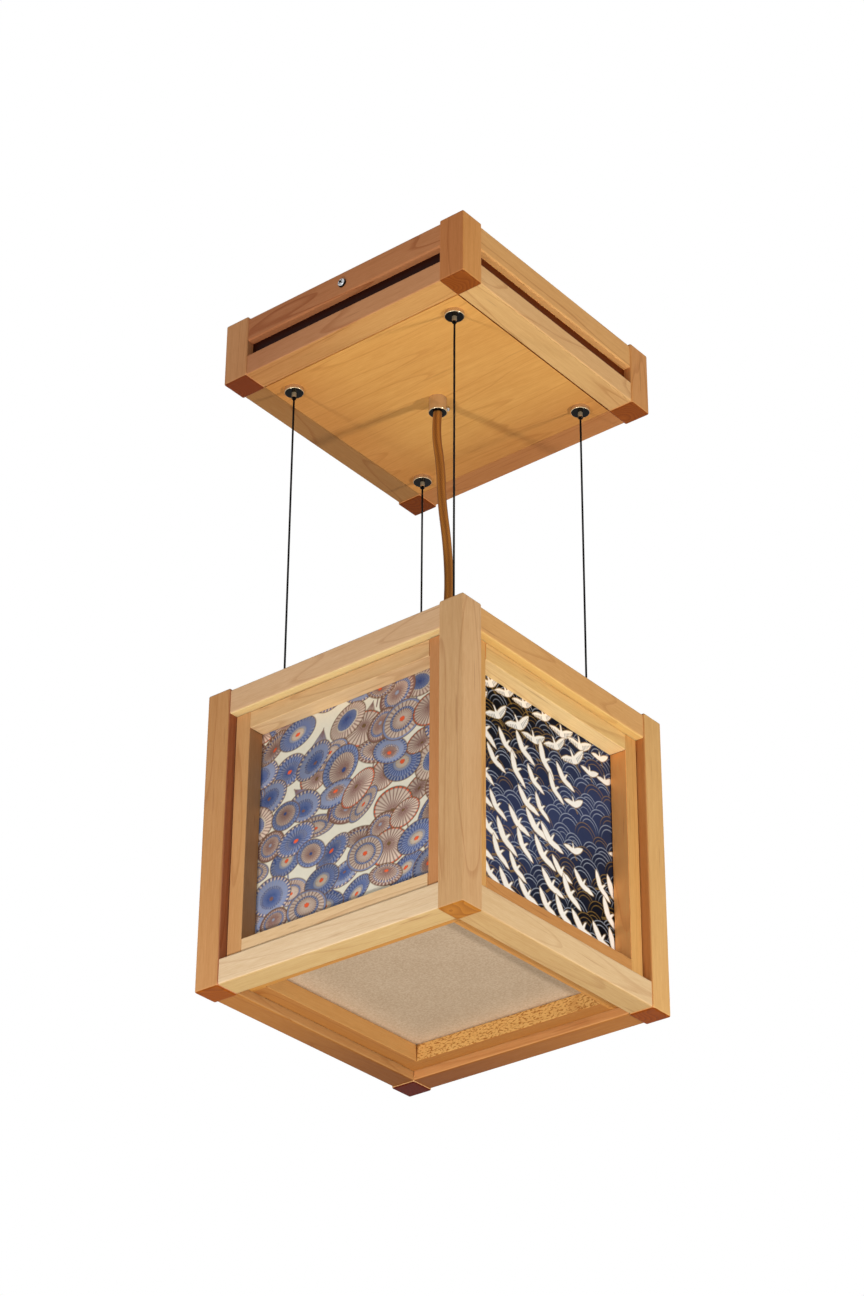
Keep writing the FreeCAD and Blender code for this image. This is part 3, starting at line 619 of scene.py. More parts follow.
def swept_tube(name, points, travel, radius, around, twist, swell):
    """A round profile carried along a line.

    Ring i has `around` points at radius * swell(angle), turned by twist * travel, in the plane across the
    line. The rings' axes stay level with one fixed sideways direction, so the tube doesn't roll. Both ends
    are closed with a fan. The UV map holds the share of a turn and the travel in metres.
    """
    count = len(points)
    ahead = np.gradient(points, axis=0)
    ahead /= np.linalg.norm(ahead, axis=1)[:, None]
    aside = np.cross(ahead, (0.6, -0.8, 0.0))
    aside /= np.linalg.norm(aside, axis=1)[:, None]
    upright = np.cross(ahead, aside)
    angle = np.arange(around) * (2 * math.pi / around)
    turned = angle[None, :] + twist * travel[:, None]
    reach = radius * swell(angle)[None, :, None]
    ring = np.cos(turned)[..., None] * aside[:, None] + np.sin(turned)[..., None] * upright[:, None]
    body = (points[:, None] + reach * ring).reshape(-1, 3)
    vertices = np.vstack([body, points[:1], points[-1:]])
    row, column = np.meshgrid(np.arange(count - 1), np.arange(around), indexing="ij")
    after = (column + 1) % around
    here, above = row * around, (row + 1) * around
    quads = np.stack([here + column, here + after, above + after, above + column], -1).reshape(-1, 4)
    edge = np.arange(around)
    following = (edge + 1) % around
    last = (count - 1) * around
    start_fan = np.stack([np.full(around, len(body)), following, edge], -1)
    end_fan = np.stack([np.full(around, len(body) + 1), last + edge, last + following], -1)
    faces = quads.tolist() + start_fan.tolist() + end_fan.tolist()
    piece = new_piece(name, vertices, faces)
    share = np.stack([column, column + 1, column + 1, column], -1) / around
    along = np.stack([travel[row], travel[row], travel[row + 1], travel[row + 1]], -1)
    corners = np.concatenate([np.stack([share, along], -1).reshape(-1, 2), np.zeros((6 * around, 2))])
    corners[-3 * around :, 1] = travel[-1]
    layer = piece.data.uv_layers.new(name="Weave")
    layer.uv.foreach_set("vector", corners.astype(np.float32).ravel())
    piece.data.polygons.foreach_set("use_smooth", np.ones(len(faces), bool))
    piece.data.update()
    return piece


def cable_finish(colour):
    """Black coated wire: a fine noise greys the strands' crests a little and varies their gloss."""
    material, tree = new_tree("Black cable")
    place = place_in(tree)
    wear = noise(tree, place, 900.0, 2.0)
    shade = mixed(tree, between(tree, wear, 0.55, 0.8), colour, tint(30, 27, 26))
    finished(tree, shade, (0.4, 0.6), wear, 0.00005, 0.3, Specular_IOR_Level=0.08)
    return material


class LAMP_OT_cables(bpy.types.Operator):
    """Lays the four stranded suspension cables from the grippers down to their ball ends."""

    bl_idname = "lamp.cables"
    bl_label = "Suspension cables"

    def execute(self, context):
        sizes = context.scene.lamp_cords
        finish = cable_finish(sizes.cable_colour)
        radius = sizes.cable_diameter / 2
        strands = sizes.cable_strands
        twist = 2 * math.pi / sizes.cable_lay
        # The height at which the grippers hold the cables, and how far in the route's inner points lie.
        held_at, inset = -0.0685, 0.1

        def lobes(angle):
            return 0.95 + 0.05 * np.abs(np.cos(angle * strands / 2))

        for post in POSTS:
            low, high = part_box(f"suspension_cable_{post}")
            x, y = (low[0] + high[0]) / 2, (low[1] + high[1]) / 2
            route = [(x, y, z) for z in (high[2], high[2] - inset, low[2] + inset, low[2])]
            points, travel = even_steps(spline_points("cable route", route, resolution=40), step=0.0006)
            piece = swept_tube(f"cable_{post}", points, travel, radius, 4 * strands, twist, lobes)
            piece.data.materials.append(finish)
            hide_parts(f"suspension_cable_{post}")
            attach(piece, f"cable_{post}")
            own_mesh(piece)
        return {"FINISHED"}


def flex_finish(pale, deep, twist):
    """Braided fabric: threads run round both ways in fine chevrons, with slow streaks along the flex."""
    material, tree = new_tree("Brown fabric flex")
    uv = put(tree, "ShaderNodeUVMap", uv_map="Weave").outputs[0]
    parts = parts_of(tree, uv)
    pitch, threads, streaks = 0.0042, 14.0, 5.0
    turn = times(tree, parts[0], 2 * math.pi)
    climb = times(tree, parts[1], 2 * math.pi / pitch)
    round_it = times(tree, turn, threads)
    one = maths(tree, "SINE", plus(tree, round_it, climb))
    other = maths(tree, "SINE", maths(tree, "SUBTRACT", round_it, climb))
    weave = maths(tree, "MAXIMUM", one, other)
    slow = times(tree, parts[1], 2 * math.pi / twist)
    slow = plus(tree, times(tree, turn, streaks), slow)
    around = {0: maths(tree, "COSINE", turn), 1: maths(tree, "SINE", turn), 2: times(tree, parts[1], 9.0)}
    patch = noise(tree, put(tree, "ShaderNodeCombineXYZ", around).outputs[0], 5.0, 3.0, 0.6)
    streak = maths(tree, "SINE", maths(tree, "MULTIPLY_ADD", patch, 3.0, slow))
    tone = times(tree, streak, 0.26)
    tone = plus(tree, tone, times(tree, weave, 0.14))
    tone = plus(tree, tone, times(tree, patch, 0.5))
    tone = plus(tree, tone, 0.12, clamp=True)
    colour = mixed(tree, tone, pale, deep)
    height = maths(tree, "MULTIPLY_ADD", weave, 0.5, 0.5)
    sheen = {"Sheen_Weight": 0.08, "Sheen_Roughness": 0.5}
    finished(tree, colour, 0.82, height, 0.0003, 0.55, Specular_IOR_Level=0.2, **sheen)
    return material


class LAMP_OT_flex(bpy.types.Operator):
    """Hangs the fabric flex in its loose bow from the cord grip down to the bush on the lamp bar."""

    bl_idname = "lamp.flex"
    bl_label = "Fabric flex"

    def execute(self, context):
        sizes = context.scene.lamp_cords
        # The height at which the cord grip holds the flex, the way in which it bows, and its offset that way
        # and its height at each point of the route.
        lean = math.radians(39.0)
        bow = (
            (0.0, -0.0718),
            (-0.0017, -0.092),
            (0.0028, -0.126),
            (0.0036, -0.160),
            (0.0086, -0.203),
            (0.0102, -0.248),
            (0.0060, -0.297),
            (0.0010, -0.338),
            (0.0, -0.365),
        )
        route = [(off * math.cos(lean), off * math.sin(lean), z) for off, z in bow]
        points, travel = even_steps(spline_points("flex route", route, resolution=32), step=0.0011)
        radius = sizes.flex_diameter / 2
        piece = swept_tube("flex", points, travel, radius, around=40, twist=0.0, swell=np.ones_like)
        piece.data.materials.append(flex_finish(sizes.flex_pale, sizes.flex_deep, sizes.flex_twist))
        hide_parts("flex_cord")
        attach(piece, "flex")
        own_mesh(piece)
        return {"FINISHED"}


# Printed sheets


class Sheet:
    """Paint on a grid, in millimetres from the sheet's middle, that later lies on the sheet's face."""

    def __init__(self, half_width, half_height, cells, ground):
        self.s = np.linspace(-half_width, half_width, cells + 1)
        self.t = np.linspace(-half_height, half_height, cells + 1)
        self.step = self.s[1] - self.s[0]
        self.ink = np.empty((cells + 1, cells + 1, 3))
        self.ink[:] = ground

    def window(self, s, t, reach):
        """The part of the grid within reach of a point, as slices and as offsets from that point."""
        columns = slice(*np.searchsorted(self.s, (s - reach, s + reach)))
        rows = slice(*np.searchsorted(self.t, (t - reach, t + reach)))
        away_s, away_t = np.meshgrid(self.s[columns] - s, self.t[rows] - t)
        return (rows, columns), away_s, away_t

    def lay(self, part, cover, colour):
        """Paints colour, one for all or one for each point, as far as cover says."""
        cover = np.clip(cover, 0.0, 1.0)[..., None]
        self.ink[part] = self.ink[part] * (1 - cover) + np.asarray(colour) * cover

    def edge(self, distance):
        """Cover that falls from 1 inside to 0 outside over one cell."""
        return 0.5 - distance / self.step

    @staticmethod
    def nearest(start, run, away_s, away_t):
        """For each point and each straight run: the run's share that is nearest to it, and how far off."""
        to_s = away_s[..., None] - start[:, 0]
        to_t = away_t[..., None] - start[:, 1]
        share = (to_s * run[:, 0] + to_t * run[:, 1]) / np.maximum((run**2).sum(axis=1), 1e-9)
        share = np.clip(share, 0.0, 1.0)
        return share, np.hypot(to_s - share * run[:, 0], to_t - share * run[:, 1])

    def stroke(self, points, width, colour):
        """A line of given widths, which may change along it, through a few points."""
        points = np.asarray(points, float)
        widths = np.broadcast_to(np.asarray(width, float), len(points))
        middle = points.mean(axis=0)
        reach = np.abs(points - middle).max() + widths.max() + 1.0
        part, away_s, away_t = self.window(*middle, reach)
        if away_s.size == 0:
            return
        start = points[:-1] - middle
        share, gap = self.nearest(start, points[1:] - middle - start, away_s, away_t)
        wide = widths[:-1] + share * (widths[1:] - widths[:-1])
        self.lay(part, self.edge((gap - wide / 2).min(axis=-1)), colour)

    def patch(self, outline, colour, rim=None, rim_width=0.5):
        """A filled outline, perhaps with a rim. A ray from inside it crosses an odd number of its edges."""
        outline = np.asarray(outline, float)
        middle = (outline.max(axis=0) + outline.min(axis=0)) / 2
        reach = np.abs(outline - middle).max() + rim_width + 1.0
        part, away_s, away_t = self.window(*middle, reach)
        if away_s.size == 0:
            return
        start = outline - middle
        end = np.roll(start, -1, axis=0)
        run = end - start
        gap = self.nearest(start, run, away_s, away_t)[1].min(axis=-1)
        spans = (start[:, 1] > away_t[..., None]) != (end[:, 1] > away_t[..., None])
        slope = np.where(np.abs(run[:, 1]) < 1e-9, 1e-9, run[:, 1])
        crossing = start[:, 0] + (away_t[..., None] - start[:, 1]) * run[:, 0] / slope
        inside = (spans & (away_s[..., None] < crossing)).sum(axis=-1) % 2 == 1
        signed = np.where(inside, -gap, gap)
        if rim is not None:
            self.lay(part, self.edge(signed - rim_width), rim)
        self.lay(part, self.edge(signed), colour)


def placed(points, s, t, turn, size=1.0, mirror=1.0):
    """Points of a motif turned, scaled and moved to their place on a sheet."""
    points = np.asarray(points, float) * (mirror, 1.0) * size
    cosine, sine = math.cos(turn), math.sin(turn)
    return points @ np.array([[cosine, sine], [-sine, cosine]]) + (s, t)


def parasol(sheet, s, t, size, flat, turn, hub, bands, ribs, rim):
    """An open parasol seen at a slant.

    Its outline is an ellipse with half axes size and size * flat. Inside, circles of radius r whose centres
    move from the hub to the middle as r grows to 1 give each point its share r of the way out and its angle,
    so the ribs meet in the hub, off the middle. The share picks a band. Thin ribs follow the angle, dashes
    switch between two colours by its cosine, and a thin rim goes round it.
    """
    part, away_s, away_t = sheet.window(s, t, size + 1.5)
    if away_s.size == 0:
        return
    cosine, sine = math.cos(turn), math.sin(turn)
    u = (away_s * cosine + away_t * sine) / size
    v = (away_t * cosine - away_s * sine) / (size * flat)
    w = v - hub
    r = (hub * w + np.sqrt((hub * w) ** 2 + (1 - hub**2) * (u**2 + w**2))) / (1 - hub**2)
    angle = np.arctan2(v - hub * (1 - r), u)
    across = np.abs(np.mod(ribs * angle / (2 * math.pi), 1.0) - 0.5) * 2 * math.pi * size * flat**0.5 / ribs
    line = np.clip(1.15 - (across * np.clip(r, 0.2, 1.0) - 0.1) / sheet.step, 0.0, 1.0)
    colour = np.zeros((*r.shape, 3))
    inner = 0.0
    for outer, tone, mark, second in bands:
        here = (r >= inner) & (r < outer + (0.2 if outer == 1.0 else 0.0))
        if mark == "ribs":
            share = line * 0.92
        elif mark == "dashes":
            share = np.clip(1.0 + 2.5 * np.cos(ribs * angle), 0.0, 1.0) * 0.9
        else:
            share = np.zeros_like(r)
        shade = np.asarray(tone) * (1 - share[..., None]) + np.asarray(second) * share[..., None]
        colour = np.where(here[..., None], shade, colour)
        edge = np.clip(1.2 - np.abs(r - outer) * size * flat**0.5 / sheet.step / 0.7, 0.0, 1.0) * 0.5
        colour = colour * (1 - edge[..., None]) + np.asarray(rim) * 0.75 * edge[..., None]
        inner = outer
    slope = 1.0 - 0.16 * np.clip(np.sin(angle - 0.6), -1, 1) * np.clip(r, 0, 1)
    out = np.hypot(u, v)
    distance = (out - 1.0) * size * (flat + (1 - flat) * np.abs(u) / np.maximum(out, 1e-6))
    sheet.lay(part, sheet.edge(distance - 0.45), rim)
    sheet.lay(part, sheet.edge(distance + 0.3), colour * slope[..., None])


def half_parasol(sheet, s, t, size, turn, tone, second, rim, handle):
    """A parasol half closed: a fan with a scalloped hem and lines from its tip, on a thin handle."""
    share = np.linspace(-1.0, 1.0, 41)
    hem = -1.05 * size + 0.16 * size * share**2 + 0.06 * size * np.abs(np.sin(share * 3 * math.pi))
    outline = np.vstack([[[0.0, 0.12 * size]], np.stack([share * 0.6 * size, hem], -1)])
    sheet.stroke(placed([(0, 0.2 * size), (0, -1.6 * size)], s, t, turn), 0.9, handle)
    sheet.patch(placed(outline, s, t, turn), tone, rim, 0.4)
    for spoke in np.linspace(-0.85, 0.85, 8):
        end = (spoke * 0.6 * size, -1.02 * size + 0.16 * size * spoke**2)
        sheet.stroke(placed([(0, 0.08 * size), end], s, t, turn), 0.4, second)


def scattered(random, half_width, half_height, spacing, jitter):
    """Places on a staggered lattice, each moved a little, in a mixed order."""
    rows = np.arange(-half_height - spacing, half_height + spacing, spacing * 0.87)
    columns = np.arange(-half_width - spacing, half_width + spacing, spacing)
    t, s = np.meshgrid(rows, columns, indexing="ij")
    s = s + (np.arange(len(rows)) % 2)[:, None] * spacing / 2
    places = np.stack([s.ravel(), t.ravel()], -1)
    places = places + random.uniform(-jitter, jitter, places.shape)
    return places[random.permutation(len(places))]


def paint_parasols(half_width, half_height, seed, inks):
    """Overlapping parasols in blue, taupe and cream, scattered over a cream ground."""
    random = np.random.default_rng(seed)
    sheet = Sheet(half_width, half_height, inks.cells, inks.paper)
    blue, deep, slate = tuple(inks.blue), tuple(inks.deep_blue), tuple(inks.slate)
    taupe, mauve, red = tuple(inks.taupe), tuple(inks.mauve), tuple(inks.red)
    gold, cream = tuple(inks.gold), tint(206, 190, 168)
    styles = (
        ((0.13, red), (0.42, taupe, "ribs", mauve), (0.54, deep, "dashes", taupe),
         (0.84, blue, "ribs", slate), (1.0, slate, "dashes", deep)),
        ((0.12, slate), (0.6, taupe, "ribs", mauve), (0.74, deep, "dashes", slate),
         (0.9, mauve, "ribs", taupe), (1.0, mauve)),
        ((0.13, red), (0.46, slate, "ribs", deep), (0.58, deep, "dashes", slate),
         (0.86, blue, "ribs", deep), (1.0, taupe, "dashes", deep)),
        ((0.12, deep), (0.55, slate, "ribs", deep), (0.62, cream),
         (0.94, taupe, "ribs", mauve), (1.0, mauve, "dashes", taupe)),
        ((0.13, red), (0.36, mauve, "ribs", cream), (0.48, slate),
         (0.78, blue, "ribs", deep), (1.0, slate, "dashes", deep)),
        ((0.12, deep), (0.7, taupe, "ribs", mauve), (0.8, slate, "dashes", deep),
         (1.0, blue, "ribs", deep)),
        ((0.1, mauve), (0.48, blue, "ribs", deep), (0.58, slate, "dashes", deep),
         (0.86, blue, "ribs", slate), (1.0, taupe, "dashes", deep)),
        ((0.13, red), (0.66, taupe, "ribs", mauve), (0.8, deep, "dashes", taupe),
         (1.0, mauve, "ribs", taupe)),
        ((0.11, gold), (0.93, taupe, "ribs", mauve), (1.0, mauve, "dashes", red)),
        ((0.13, red), (0.5, mauve, "ribs", taupe), (0.62, slate, "dashes", deep),
         (0.9, taupe, "ribs", mauve), (1.0, blue)),
    )
    order = random.permutation(400) % len(styles)
    for index, (s, t) in enumerate(scattered(random, half_width, half_height, spacing=24.0, jitter=6.0)):
        size = random.uniform(13.5, 19.5)
        turn = random.uniform(-0.3, 0.75)
        hub = random.uniform(0.0, 0.38) * random.choice((-1, 1))
        if index % 13 == 5:
            tone = (blue, taupe, slate)[index % 3]
            half_parasol(sheet, s, t, size * 0.8, random.uniform(-1.2, 1.2), tone, mauve, gold, mauve)
            continue
        if index % 4 == 1:
            away = placed([(0, 0), (0, -size * 1.25)], s, t, turn + random.uniform(-0.6, 0.6))
            sheet.stroke(away, (1.3, 1.1), mauve if index % 8 == 1 else deep)
        depth = random.uniform(0.82, 1.16)
        bands = []
        for outer, tone, *mark in styles[order[index]]:
            kind, second = mark or ("plain", tone)
            bands.append((outer, np.array(tone) * depth, kind, np.array(second) * depth))
        flat = random.uniform(0.44, 0.84)
        parasol(sheet, s, t, size, flat, turn, hub, bands, int(random.integers(24, 32)), gold)
    return sheet


def wave_scale(sheet, s, t, radius, ground, line, rings):
    """One wave: a disc of the ground colour with concentric lines that fade out towards its foot."""
    part, away_s, away_t = sheet.window(s, t, radius + 1.0)
    if away_s.size == 0:
        return
    r = np.hypot(away_s, away_t)
    sheet.lay(part, sheet.edge(r - radius) * np.clip(1.2 + 2.0 * away_t / radius, 0.0, 1.0), ground)
    fade = np.clip(0.05 + 1.3 * away_t / radius, 0.0, 0.95)
    for ring in rings:
        sheet.lay(part, sheet.edge(np.abs(r - ring * radius) - 0.2) * fade, line)


CRANE_WINGS = (
    (-1.0, 0.02), (-0.8, 0.04), (-0.5, 0.02), (-0.24, -0.05), (-0.1, -0.1), (0.1, -0.1), (0.26, -0.05),
    (0.5, 0.04), (0.8, 0.04), (1.0, 0.0), (0.8, -0.15), (0.56, -0.25), (0.3, -0.37), (0.0, -0.46),
    (-0.25, -0.45), (-0.46, -0.38), (-0.69, -0.28), (-0.9, -0.12),
)
CRANE_NECK = (
    (-0.14, -0.2), (-0.06, -0.04), (-0.04, 0.14), (-0.01, 0.26), (0.05, 0.38), (0.05, 0.24), (0.05, 0.12),
    (0.07, -0.02), (0.14, -0.18),
)


def crane(sheet, s, t, turn, size, mirror, teeth, inks):
    """A crane in flight, seen from above.

    Two swept wings make one crescent, and the neck stands out of its hollow side. The half span is 1 here,
    and the tips lie on y = 0. Gold goes round the edges and down the two legs. The beak and the quills,
    which reach in from the hem by the share teeth, are dark.
    """
    white, rim, dark = inks
    wings = placed(CRANE_WINGS, s, t, turn, size, mirror)
    neck = placed(CRANE_NECK, s, t, turn, size, mirror)
    for leg in (-0.03, 0.04):
        legs = [(leg, -0.4), (leg - 0.06, -0.62), (leg - 0.16, -0.86)]
        sheet.stroke(placed(legs, s, t, turn, size, mirror), 0.45, rim)
    sheet.patch(wings, white, rim, 0.6)
    sheet.patch(neck, white, rim, 0.3)
    sheet.patch(wings, white)
    sheet.stroke(placed([(0.01, 0.27), (0.06, 0.42)], s, t, turn, size, mirror), (0.9, 0.4), dark)
    for share in np.linspace(0.25, 0.9, 6 if teeth else 0):
        for side, low in ((-1, -0.5), (1, -0.46)):
            hem = low * (1 - share) ** 0.85 - 0.02
            quill = [(side * share * 0.98, hem * (1 - teeth)), (side * share, hem)]
            sheet.stroke(placed(quill, s, t, turn, size, mirror), 0.6, dark)


def paint_cranes(half_width, half_height, seed, inks):
    """Cranes in white and gold that fly in slanting flocks over lines of waves on a navy ground."""
    random = np.random.default_rng(seed)
    sheet = Sheet(half_width, half_height, inks.cells, inks.navy)
    navy, dusk = np.array(inks.navy), np.array(inks.dusk)
    foam, gold = tuple(inks.foam), tuple(inks.bronze)
    bird = (tuple(inks.feather), gold, tuple(inks.navy))

    def ground(s, t):
        """Dusk along a rising middle band that fades to navy towards two corners."""
        off = (0.85 * t - 0.53 * s + 8.5) / 46.0
        return navy + (dusk - navy) * math.exp(-off * off)

    row_step, column_step, margin = 9.6, 19.0, 12.0
    for row, t in enumerate(np.arange(half_height + 8.0, -half_height - 16.0, -row_step)):
        for s in np.arange(-half_width - margin, half_width + margin, column_step):
            s = s + (row % 2) * column_step / 2 + random.uniform(-4.5, 4.5)
            height = t + random.uniform(-2.0, 2.0)
            line = gold if random.random() < 0.3 else foam
            rings = (0.95, 0.72) if random.random() < 0.7 else (0.95, 0.7, 0.45)
            wave_scale(sheet, s, height, random.uniform(11.0, 15.5), ground(s, height), line, rings)
    places = scattered(random, half_width, half_height, spacing=22.8, jitter=3.6)
    for s, t in places[np.argsort(-places[:, 1])]:
        chance = random.random()
        mirror, teeth = -1, 0.0
        if t > half_height * 0.58 and s < half_width * 0.6:
            turn = random.uniform(0.2, 0.65)
            size = random.uniform(14.0, 17.5)
            teeth = 0.5
        elif s - 0.5 * t > half_width * 0.25 and t > -half_height * 0.2:
            if chance >= 0.5:
                continue
            turn = random.uniform(0.1, 0.5)
            size = random.uniform(10.5, 12.5)
        elif chance < 0.92:
            turn = random.normal(-0.68, 0.14)
            size = random.uniform(12.5, 17.0)
            mirror = 1
        else:
            continue
        crane(sheet, s, t, turn, size, mirror, teeth, bird)
    return sheet


def printed_sheet(name, side, sheet, front, back_paper, window_middle):
    """A thin board whose outer face is the painted grid.

    The grid spans the window, and one more row and column on each side take the face out to the board's
    edges. The back is one face, and a strip of faces round the edge joins the two.
    """
    (out_x, out_y), (right_x, right_y) = SIDES[side]
    low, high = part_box(f"print_panel_{side}")
    outward = np.array((out_x, out_y, 0.0))
    right = np.array((right_x, right_y, 0.0))
    middle = np.array((low + high) / 2)
    half_thick = abs(np.array(high - low) @ outward) / 2
    half_wide = abs(np.array(high - low) @ right) / 2
    s = np.concatenate([[-half_wide], sheet.s / 1000, [half_wide]])
    t = np.concatenate([[low[2]], window_middle + sheet.t / 1000, [high[2]]])
    ink = np.pad(sheet.ink, ((1, 1), (1, 1), (0, 0)), mode="edge")
    across, up = np.meshgrid(s, t)
    level = np.array((middle[0], middle[1], 0.0)) + outward * half_thick
    face = level + across[..., None] * right + up[..., None] * np.array((0, 0, 1.0))
    rows, columns = across.shape
    index = np.arange(rows * columns).reshape(rows, columns)
    quads = np.stack([index[:-1, :-1], index[:-1, 1:], index[1:, 1:], index[1:, :-1]], -1).reshape(-1, 4)
    loop = np.concatenate([index[0, :-1], index[:-1, -1], index[-1, :0:-1], index[:0:-1, 0]])
    rim = face.reshape(-1, 3)[loop] - outward * 2 * half_thick
    behind = rows * columns + np.arange(len(loop))
    ahead, back = np.roll(loop, -1), np.roll(behind, -1)
    strip = np.stack([loop, behind, back, ahead], -1)
    vertices = np.vstack([face.reshape(-1, 3), rim])
    piece = new_piece(name, vertices, quads.tolist() + strip.tolist() + [behind[::-1].tolist()])
    mesh = piece.data
    colours = np.ones((len(vertices), 4))
    colours[: rows * columns, :3] = ink.reshape(-1, 3)
    layer = mesh.color_attributes.new("ink", "FLOAT_COLOR", "POINT")
    layer.data.foreach_set("color", colours.astype(np.float32).ravel())
    mesh.materials.append(front)
    mesh.materials.append(back_paper)
    kinds = np.concatenate([np.zeros(len(quads)), np.ones(len(strip) + 1)]).astype(np.int32)
    mesh.polygons.foreach_set("material_index", kinds)
    mesh.update()
    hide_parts(f"print_panel_{side}")
    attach(piece, "lantern")
    return piece


def printed_paper(name, rough):
    """Ink from the sheet's own colours on paper whose fibres lighten, darken and roughen it."""
    material, tree = new_tree(name)
    ink = put(tree, "ShaderNodeAttribute", attribute_name="ink").outputs["Color"]
    place = place_in(tree)
    fibre = noise(tree, place, 1400.0, 3.0, 0.6)
    soft = noise(tree, place, 260.0, 2.0)
    shade = plus(tree, plus(tree, times(tree, fibre, 0.16), times(tree, soft, 0.1)), 0.87)
    grey = put(tree, "ShaderNodeCombineColor", {k: shade for k in range(3)})
    colour = mixed(tree, 1.0, ink, grey.outputs[0], "MULTIPLY")
    finished(tree, colour, (rough, rough + 0.16), fibre, 0.00006, 0.3, Specular_IOR_Level=0.03)
    return material


def plain_paper(colour):
    """Off-white backing paper with soft cloudy fibres."""
    material, tree = new_tree("Backing paper")
    place = place_in(tree)
    cloud = noise(tree, place, 320.0, 3.0, 0.6)
    shade = mixed(tree, cloud, colour, tint(214, 204, 180))
    finished(tree, shade, (0.78, 0.92), cloud, 0.00008, 0.3)
    return material


class LAMP_OT_prints(bpy.types.Operator):
    """Paints the four printed sheets: parasols on two opposite sides, cranes over waves on the others."""

    bl_idname = "lamp.prints"
    bl_label = "Printed sheets"

    def execute(self, context):
        inks = context.scene.lamp_prints
        back = plain_paper(inks.paper)
        low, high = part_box("side_frame_front_left")
        half_width = (high[0] - FRAME_MEMBER + WINDOW_LAP) * 1000
        half_height = ((high[2] - low[2]) / 2 - FRAME_MEMBER + WINDOW_LAP) * 1000
        middle = (high[2] + low[2]) / 2
        soft = printed_paper("Parasol print", 0.62)
        crisp = printed_paper("Wave print", 0.5)
        for side, seed, paint, face, slot in (
            ("front_left", 21, paint_parasols, soft, "parasol_print"),
            ("back_right", 22, paint_parasols, soft, "parasol_print"),
            ("front_right", 31, paint_cranes, crisp, "wave_print"),
            ("back_left", 32, paint_cranes, crisp, "wave_print"),
        ):
            sheet = paint(half_width, half_height, seed, inks)
            piece = printed_sheet(f"print_{side}", side, sheet, face, back, middle)
        return {"FINISHED"}


# Fittings


def metal(name, colour, rough, brushed, dark_below=None, dark_inside=None, metallic=1.0):
    """Plated metal: a noise drawn out round the vertical axis varies its gloss, with a trace of haze.

    What lies below the height dark_below, or nearer to y = 0 than dark_inside, is blackened: on a grip
    body's underside as a painted dark reflection of the room below, and in a screw's slot as painted shade.
    A metallic below 1 shows part of the colour flat, as a painted reflection of the wood and lamps round it.
    """
    material, tree = new_tree(name)
    place = place_in(tree)
    grain = noise(tree, stretched(tree, place, (1.0, 1.0, 6.0)), 700.0, 3.0, 0.6)
    haze = noise(tree, place, 160.0, 2.0)
    shade = mixed(tree, between(tree, haze, 0.4, 0.75), colour, tuple(value * 0.8 for value in colour))
    if dark_below:
        low = where(tree, parts_of(tree, place), "Z", dark_below)
        shade = mixed(tree, low, shade, tint(9, 7, 6))
    if dark_inside:
        outside = where(tree, parts_of(tree, place), "both Y", dark_inside)
        shade = mixed(tree, outside, tint(30, 24, 20), shade)
    gloss = between(tree, grain, 0.25, 0.75, rough, rough + brushed)
    finished(tree, shade, gloss, grain, 0.00003, 0.12, Metallic=metallic, Specular_IOR_Level=0.12)
    return material


def moulded(name, colour, rough):
    """Moulded plastic or opal glass: a fine skin texture and slight clouding of the colour."""
    material, tree = new_tree(name)
    place = place_in(tree)
    skin = noise(tree, place, 1300.0, 2.0)
    cloud = noise(tree, place, 70.0, 2.0)
    shade = mixed(tree, cloud, colour, tuple(value * 0.88 for value in colour))
    finished(tree, shade, (rough, rough + 0.14), skin, 0.00005, 0.25)
    return material


class LAMP_OT_metal(bpy.types.Operator):
    """Gives the grippers, cable ends, cord grip, bracket, nuts and screws their plating."""

    bl_idname = "lamp.metal"
    bl_label = "Metal fittings"

    def execute(self, context):
        tones = context.scene.lamp_fittings
        nickel, body, zinc = tones.nickel, tones.body, tones.zinc
        # Depths of what is blackened: a body's lower rim, where a painted dark reflection of the room below
        # covers its underside, a plunger's tip, and a screw's slot, as painted shade.
        rim, tip, slot = 0.0002, 0.0013, 0.0011
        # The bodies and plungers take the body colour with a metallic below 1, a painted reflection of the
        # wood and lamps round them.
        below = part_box("gripper_bodies")[0][2] + rim
        dress(["gripper_bodies"], metal("Gripper nickel", body, 0.16, 0.1, below, metallic=0.75))
        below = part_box("cord_grip")[0][2] + rim
        dress(["cord_grip"], metal("Cord grip nickel", body, 0.16, 0.1, below, metallic=0.7))
        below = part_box("gripper_plunger_left")[0][2] + tip
        plunger = metal("Plunger nickel", body, 0.14, 0.1, below, metallic=0.6)
        dress([f"gripper_plunger_{post}" for post in POSTS], plunger)
        dress([f"cable_end_{post}" for post in POSTS], metal("Cable end nickel", nickel, 0.1, 0.1))
        dress(["cord_grip_screw"], metal("Bright nickel", nickel, 0.08, 0.1))
        satin = tuple(value * 0.6 for value in nickel)
        dress(["cable_anchors"], metal("Satin nickel", satin, 0.24, 0.14))
        plain = metal("Zinc plate", tuple(value * 0.62 for value in zinc), 0.38, 0.2)
        dress(["ceiling_bracket", "panel_nuts"], plain)
        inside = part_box("bracket_screws")[1][1] - slot
        dress(["bracket_screws"], metal("Screw nickel", zinc, 0.2, 0.16, dark_inside=inside))
        return {"FINISHED"}


